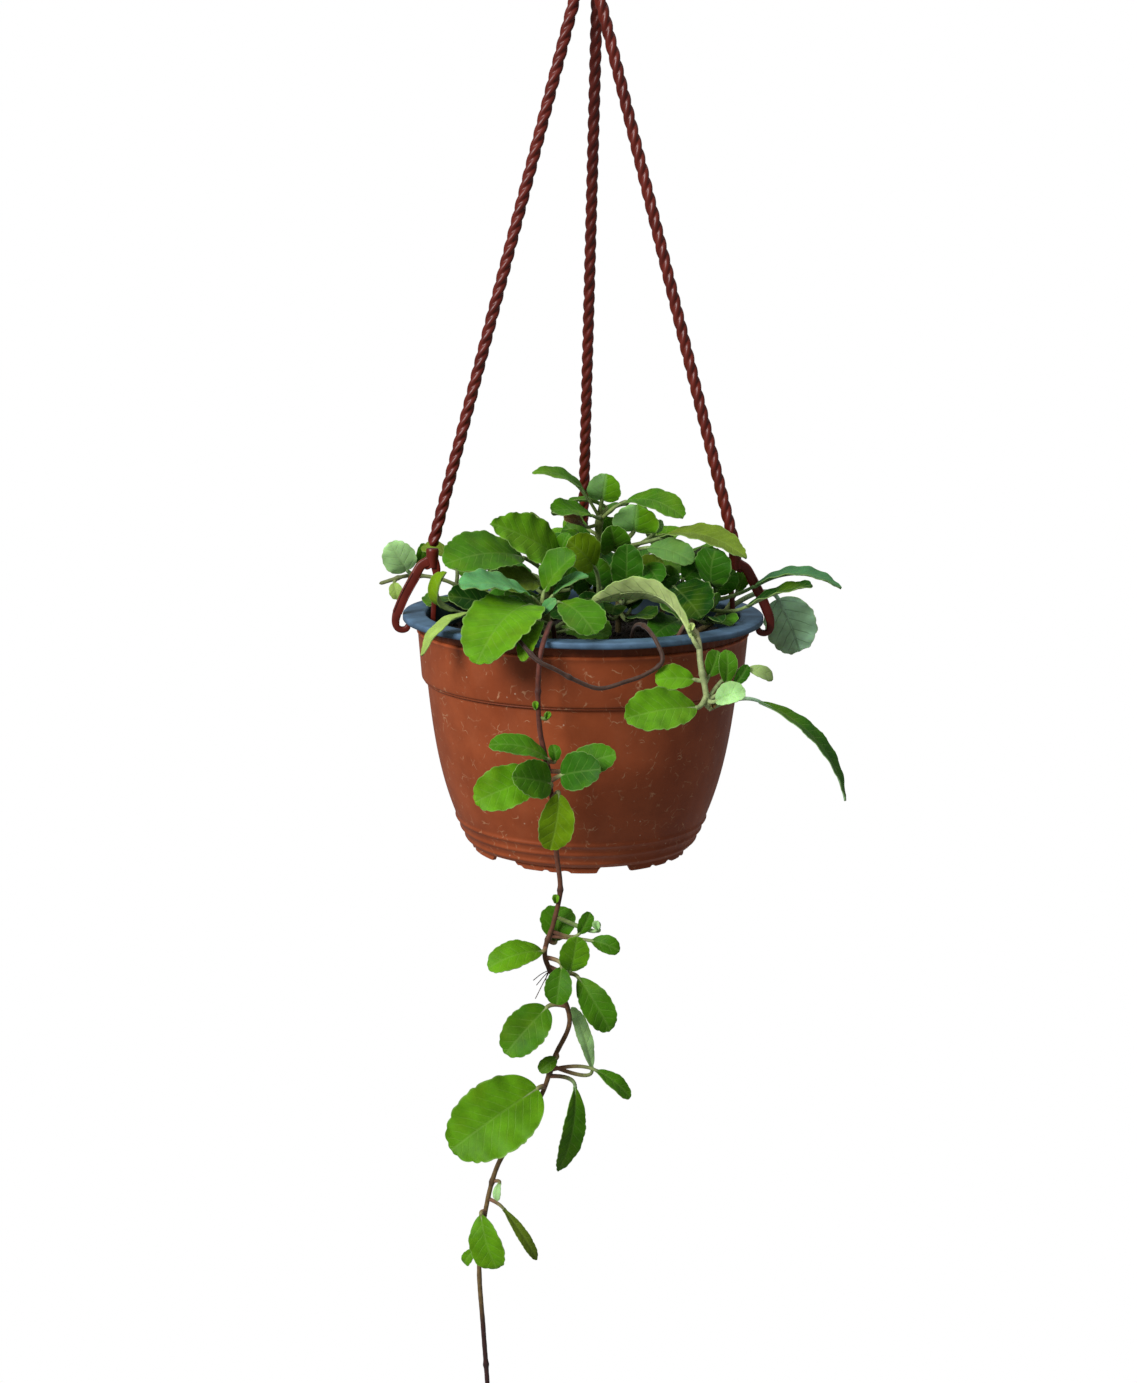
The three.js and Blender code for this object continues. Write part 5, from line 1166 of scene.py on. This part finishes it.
def add_leaf(skin, row, route, looks, stem_code, draw):
    """One leaf: a closed blade with rounded teeth, a midrib groove, puckers between its side veins and
    a lightly waved edge, and its stalk."""
    base, tip = grown(row.base), grown(row.tip)
    root = grown(row.root) if row.root else point_along(route, row.at)
    chord = tip - base
    up = Vector(row.up).normalized()
    up = (up - chord * up.dot(chord) / chord.length_squared).normalized()
    crown = base.lerp(tip, 0.5) + up * row.arch * 2
    count = max(20, min(64, round(chord.length / ROW_STEP)))
    columns = 17 if row.width > 12 else 13
    shares = [0.5 - 0.5 * math.cos(math.pi * i / count) for i in range(count + 1)]
    halves = [max(half_width(row, u), LEAST_BASE if u < 0.5 else LEAST_TIP) for u in shares]
    spine = [curve(base, crown, tip, u) for u in shares]
    margin = [0.0]
    for i in range(count):
        run = (spine[i + 1][0] - spine[i][0]).length
        margin.append(margin[-1] + math.hypot(halves[i + 1] - halves[i], run))
    teeth = max(3, round(margin[-1] / (looks.tooth * (0.6 + row.width / 33))))
    depth = min(TOOTH_LIMIT, 0.03 * row.width + 0.1)
    phases = {-1: draw.uniform(0, 1), 1: draw.uniform(0, 1)}
    wave = draw.uniform(9, 13)
    ruffle = 0.028 * row.width * draw.uniform(0.7, 1.3)
    skew = draw.uniform(-1, 1) * 0.05
    left, right, under = (linear(TONES[tone]) for tone in (row.tone, row.other, row.under))
    upper_points, under_points, places, tints = [], [], [], []
    reach = 0.0
    for i, (centre, way) in enumerate(spine):
        if i:
            reach += (centre - spine[i - 1][0]).length
        side = sideways(row, up, way)
        face = way.cross(side).normalized()
        before, after = max(i - 1, 0), min(i + 1, count)
        run = max(1e-6, (spine[after][0] - spine[before][0]).length)
        fall = halves[after] - halves[before]
        slope = math.hypot(run, fall)
        for j in range(columns):
            v = math.sin(math.pi / 2 * (2 * j / (columns - 1) - 1))
            sign = 1 if v >= 0 else -1
            off = abs(v)
            drift = 0.5 * noise.noise(Vector((margin[i] * 0.11, 7 * sign, wave)))
            tooth = abs(math.sin(math.pi * (margin[i] / margin[-1] * teeth + phases[sign] + drift)))
            push = depth * (tooth ** 0.7 - 0.62) * ease((shares[i] - 0.14) / 0.2) * off ** 4
            out = halves[i] * (1 + skew * sign) * v + sign * push * run / slope
            waved = math.sin(2 * math.pi * margin[i] / wave + 2.4 * phases[sign])
            swell = math.cos(2 * math.pi * ((reach - FAN * abs(out)) / looks.vein + 0.5))
            lift = (row.cup + 0.06) * halves[i] * off ** 1.25
            lift += ruffle * waved * off ** 2 * ease(shares[i] / 0.3)
            lift -= GROOVE * math.exp(-(out / 1.1) ** 2) * (1 - shares[i])
            lift += PUCKER * swell * math.sin(math.pi * off) * ease(halves[i] / 6)
            spot = centre + side * out - way * (push * fall / slope) + face * lift
            thick = looks.thickness / 2 * (1 - 0.55 * off ** 2)
            upper_points.append(spot + face * thick)
            under_points.append(spot - face * thick)
            places.append((out, reach, off))
            # side points to the left of a blade seen from above with its tip away
            # where row.other differs from row.tone, the halves' tints are painted light and shade across the
            # fold
            tints.append(mixed(right, left, ease(v * 6 + 0.5)))
    faces, marks = closed_sheet(count + 1, columns)
    skin.add(upper_points + under_points, faces, marks, tints + [under] * len(tints), places * 2)
    add_stalk(skin, row, root, up, [spot for spot, share in zip(spine, shares) if share < RIBBED],
              linear(stem_code), under)


def add_stalk(skin, row, root, up, spine, stem_colour, leaf_colour):
    """A leaf's stalk, which leaves the shoot at root and runs on as the midrib underneath."""
    base, way = spine[0]
    knee = base - way * (base - root).length * 0.4
    stalk = [curve(root, knee, base, i / STALK_STEPS)[0] for i in range(STALK_STEPS)]
    for k in range(0, len(spine), 2):
        centre, way = spine[k]
        stalk.append(centre - way.cross(sideways(row, up, way)) * 0.55 * ease(k / 4))
    far = distances(stalk)
    joint = far[STALK_STEPS]
    broad = min(1.25, 0.75 + row.width / 50)

    def section(i):
        if i < STALK_STEPS:
            return round_outline(broad * (1.12 - 0.2 * i / STALK_STEPS), 10, 0.85)
        left = 1 - (far[i] - joint) / max(far[-1] - joint, 1e-6)
        return round_outline(max(0.22, broad * 0.9 * left), 10, 0.8)

    swept(skin, stalk, section, STEM, lambda i: mixed(stem_colour, leaf_colour, ease(far[i] / (joint + 4))),
          flat=up)


def add_stem(skin, route, plan):
    """A shoot's stem: it swells where leaves join it, wanders a little in thickness and ends round."""
    old, young, *tip = (linear(code) for code in plan.colours)
    dark = 0.55 if plan.colours[0] == RED_STEM else 0.2
    far = distances(route)
    total = far[-1]

    def section(i):
        girth = plan.diameter / 2 * (1 + 0.08 * noise.noise(Vector((far[i] * 0.35, plan.diameter, 0))))
        for knot in plan.knots:
            girth += 0.42 * math.exp(-((far[i] - knot * total) / 1.3) ** 2)
        girth *= math.sqrt(max(0.06, min(1.0, (total - far[i] + 0.1) / 1.2)))
        return round_outline(girth, 10)

    def tint(i):
        near = max((math.exp(-((far[i] - knot * total) / 1.6) ** 2) for knot in plan.knots), default=0.0)
        colour = mixed(old, young, ease(far[i] / total * 1.6 - 0.3))
        if tip:
            colour = mixed(colour, tip[0], ease((far[i] / total - 0.84) / 0.05))
        return mixed(colour, linear(DARK_NODE), dark * near)

    swept(skin, route, section, STEM, tint)


def add_buds(skin, buds, route, looks, draw):
    """Side buds, each a tiny closed pair of leaves on the nearest stretch of the runner."""
    far = distances(route)
    for place, size, tone in buds:
        near = min(range(len(route)), key=lambda k: (route[k] - grown(place)).length)
        lean = Vector((draw.uniform(-0.5, 0.5), -0.4, 1)).normalized()
        for turn in (-1, 1):
            way = (lean + Vector((0.35 * turn, 0, 0))).normalized() * size
            row = leaf(Vector(place) - way * 0.3, Vector(place) + way * 0.7, size * 0.75,
                       (0.3 * -turn, -0.9, 0.2), far[near] / far[-1], tone, arch=0.5, cup=0.4, under=tone)
            add_leaf(skin, row, route, looks, GREEN_STEM, draw)


def add_rootlets(skin, route, share, count, draw):
    """Dry brown hair roots that hang from a runner's node."""
    start = point_along(route, share)
    for _ in range(count):
        way = Vector((draw.uniform(-1, 0.6), draw.uniform(-0.5, 0.1), draw.uniform(-0.7, -0.1)))
        way.normalize()
        reach = draw.uniform(4, 11)
        bend = Vector((draw.uniform(-1, 1), draw.uniform(-0.4, 0.2), -1.4))
        line = [start + way * reach * t + bend * reach * 0.3 * t * t for t in (0, 0.3, 0.6, 1)]
        swept(skin, smooth_route(line, 1), lambda i: round_outline(0.22, 5), STEM,
              lambda i: linear(DRY_ROOT))


def shoot_pieces(name, finishes):
    """A shoot with its small leaves, then each leaf that is a piece of its own."""
    plan = SHOOTS[name]
    looks = in_mm(bpy.context.scene.plant_looks)
    draw = random.Random(name)
    route = smooth_route([grown(point) for point in plan.line], 0.8)
    skin = Skin()
    add_stem(skin, route, plan)
    for row in plan.leaves:
        if not row.name:
            add_leaf(skin, row, route, looks, plan.stalks, draw)
    add_buds(skin, plan.buds, route, looks, draw)
    for share, count in plan.rootlets:
        add_rootlets(skin, route, share, count, draw)
    settle(f"{name}_piece", skin, finishes, [name], 50)
    for row in plan.leaves:
        if row.name:
            skin = Skin()
            add_leaf(skin, row, route, looks, plan.stalks, random.Random(row.name))
            settle(f"{row.name}_piece", skin, finishes, [row.name], 50)


# ---- stage ---------------------------------------------------------------------------------------

FLOOR_HALF, FLOOR_DROP = 1.2, 4.2  # in metres: half its side, and how far it lies below the hook


def camera():
    """Level with the plant's crown, looking a little down on the rim."""
    lens = bpy.data.cameras.new("camera")
    lens.lens = 51
    lens.sensor_width = 36
    eye = link("camera", lens)
    eye.matrix_world = (Matrix.Translation((-0.007, -0.980, (160 - RIM_DROP) * MM))
                        @ Matrix.Rotation(math.radians(90 - 11.52), 4, "X")
                        @ Matrix.Rotation(math.radians(0.54), 4, "Z"))
    bpy.context.scene.camera = eye


def soft_light(name, place, size, power):
    """A large square light that looks at the pot."""
    lamp = bpy.data.lights.new(name, "AREA")
    lamp.size = size
    lamp.energy = power
    aim = Vector((0, 0, -RIM_DROP * MM)) - Vector(place)
    link(name, lamp).matrix_world = (Matrix.Translation(place)
                                     @ aim.to_track_quat("-Z", "Y").to_matrix().to_4x4())


def studio():
    """A pale floor well below the hanging plant, an even pale sky and two soft lights."""
    lights = bpy.context.scene.studio_lights
    world = bpy.data.worlds.new("studio")
    bpy.context.scene.world = world
    world.use_nodes = True
    tree = world.node_tree
    tree.nodes.clear()
    seen = add(tree, "LightPath").outputs["Is Camera Ray"]
    strength = remap(tree, seen, 0, 1, lights.sky, 1)
    sky = add(tree, "Background", {"Color": (1, 1, 1, 1), "Strength": strength})
    add(tree, "OutputWorld", {"Surface": sky.outputs[0]})
    soft_light("key_light", (-1.28, -1.38, 0.75), 0.9, lights.key)
    soft_light("top_light", (0.3, 0.2, 1.2), 1.2, lights.top)
    mesh = bpy.data.meshes.new("floor")
    corners = ((-1, -1), (1, -1), (1, 1), (-1, 1))
    mesh.from_pydata([(x * FLOOR_HALF, y * FLOOR_HALF, -FLOOR_DROP) for x, y in corners], [], [(0, 1, 2, 3)])
    finish, tree, _ = new_finish("pale_painted_floor")
    finish_with(tree, Base_Color=linear(0xF4F4F2), Roughness=0.8, Emission_Color=(1, 1, 1, 1),
                Emission_Strength=0.45)
    mesh.materials.append(finish)
    floor = link("floor", mesh)
    bpy.context.scene.view_settings.view_transform = "Standard"


# ---- operators -----------------------------------------------------------------------------------

class PLANT_OT_camera(bpy.types.Operator):
    """Places the camera"""
    bl_idname = "plant.camera"
    bl_label = "Camera"

    def execute(self, context):
        camera()
        return {"FINISHED"}


class PLANT_OT_hanger(bpy.types.Operator):
    """Makes the three twisted strands, the rim clips and the hook"""
    bl_idname = "plant.hanger"
    bl_label = "Hanger"

    def execute(self, context):
        finish = moulded_red_brown_polypropylene(tuple(context.scene.hanger_sizes.red_brown))
        for side in SIDES:
            strand(side, finish)
        for side in SIDES:
            rim_clip(side, finish)
        hanger_hook(finish)
        return {"FINISHED"}


class PLANT_OT_pots(bpy.types.Operator):
    """Makes the outer pot and the liner"""
    bl_idname = "plant.pots"
    bl_label = "Pots"

    def execute(self, context):
        outer_pot()
        inner_pot()
        return {"FINISHED"}


class PLANT_OT_soil(bpy.types.Operator):
    """Makes the potting mix"""
    bl_idname = "plant.soil"
    bl_label = "Potting mix"

    def execute(self, context):
        potting_soil()
        return {"FINISHED"}


class PLANT_OT_plant(bpy.types.Operator):
    """Makes every shoot, runner and leaf"""
    bl_idname = "plant.plant"
    bl_label = "Plant"

    def execute(self, context):
        looks = in_mm(context.scene.plant_looks)
        finishes = [
            living_leaf("living_leaf_upper_face", 0x9CBC62, 0.12, looks.fuzz, looks.vein, 0.42),
            living_leaf("living_leaf_underside", 0x466A34, 0.5, looks.fuzz, looks.vein * 1.3, 0.55),
            living_stem(),
        ]
        for name in SHOOTS:
            shoot_pieces(name, finishes)
        return {"FINISHED"}


class PLANT_OT_studio(bpy.types.Operator):
    """Makes the floor and the lights"""
    bl_idname = "plant.studio"
    bl_label = "Studio"

    def execute(self, context):
        studio()
        return {"FINISHED"}


class PLANT_PT_panel(bpy.types.Panel):
    """Lists the steps and their settings"""
    bl_idname = "PLANT_PT_panel"
    bl_label = "Hanging plant"
    bl_space_type = "VIEW_3D"
    bl_region_type = "UI"
    bl_category = "Hanging plant"

    def draw(self, context):
        for step in STEPS:
            self.layout.operator(step.bl_idname)
        for name, group in GROUPS.items():
            box = self.layout.box()
            for key in group.__annotations__:
                box.prop(getattr(context.scene, name), key)


GROUPS = {"pot_sizes": PotSizes, "hanger_sizes": HangerSizes, "plant_looks": PlantLooks,
          "studio_lights": StudioLights}
STEPS = (PLANT_OT_camera, PLANT_OT_hanger, PLANT_OT_pots, PLANT_OT_soil, PLANT_OT_plant, PLANT_OT_studio)


def register():
    """Registers the settings, the operators and the panel."""
    for kind in (*GROUPS.values(), *STEPS, PLANT_PT_panel):
        bpy.utils.register_class(kind)
    for name, group in GROUPS.items():
        setattr(bpy.types.Scene, name, PointerProperty(type=group))


def unregister():
    """Takes them all away again."""
    for name in GROUPS:
        delattr(bpy.types.Scene, name)
    for kind in (PLANT_PT_panel, *reversed(STEPS), *reversed(GROUPS.values())):
        bpy.utils.unregister_class(kind)


def main():
    """Builds the plant step by step."""
    register()
    bpy.ops.plant.camera()
    bpy.ops.plant.hanger()
    bpy.ops.plant.pots()
    bpy.ops.plant.soil()
    bpy.ops.plant.plant()
    bpy.ops.plant.studio()


if __name__ == "__main__":
    main()
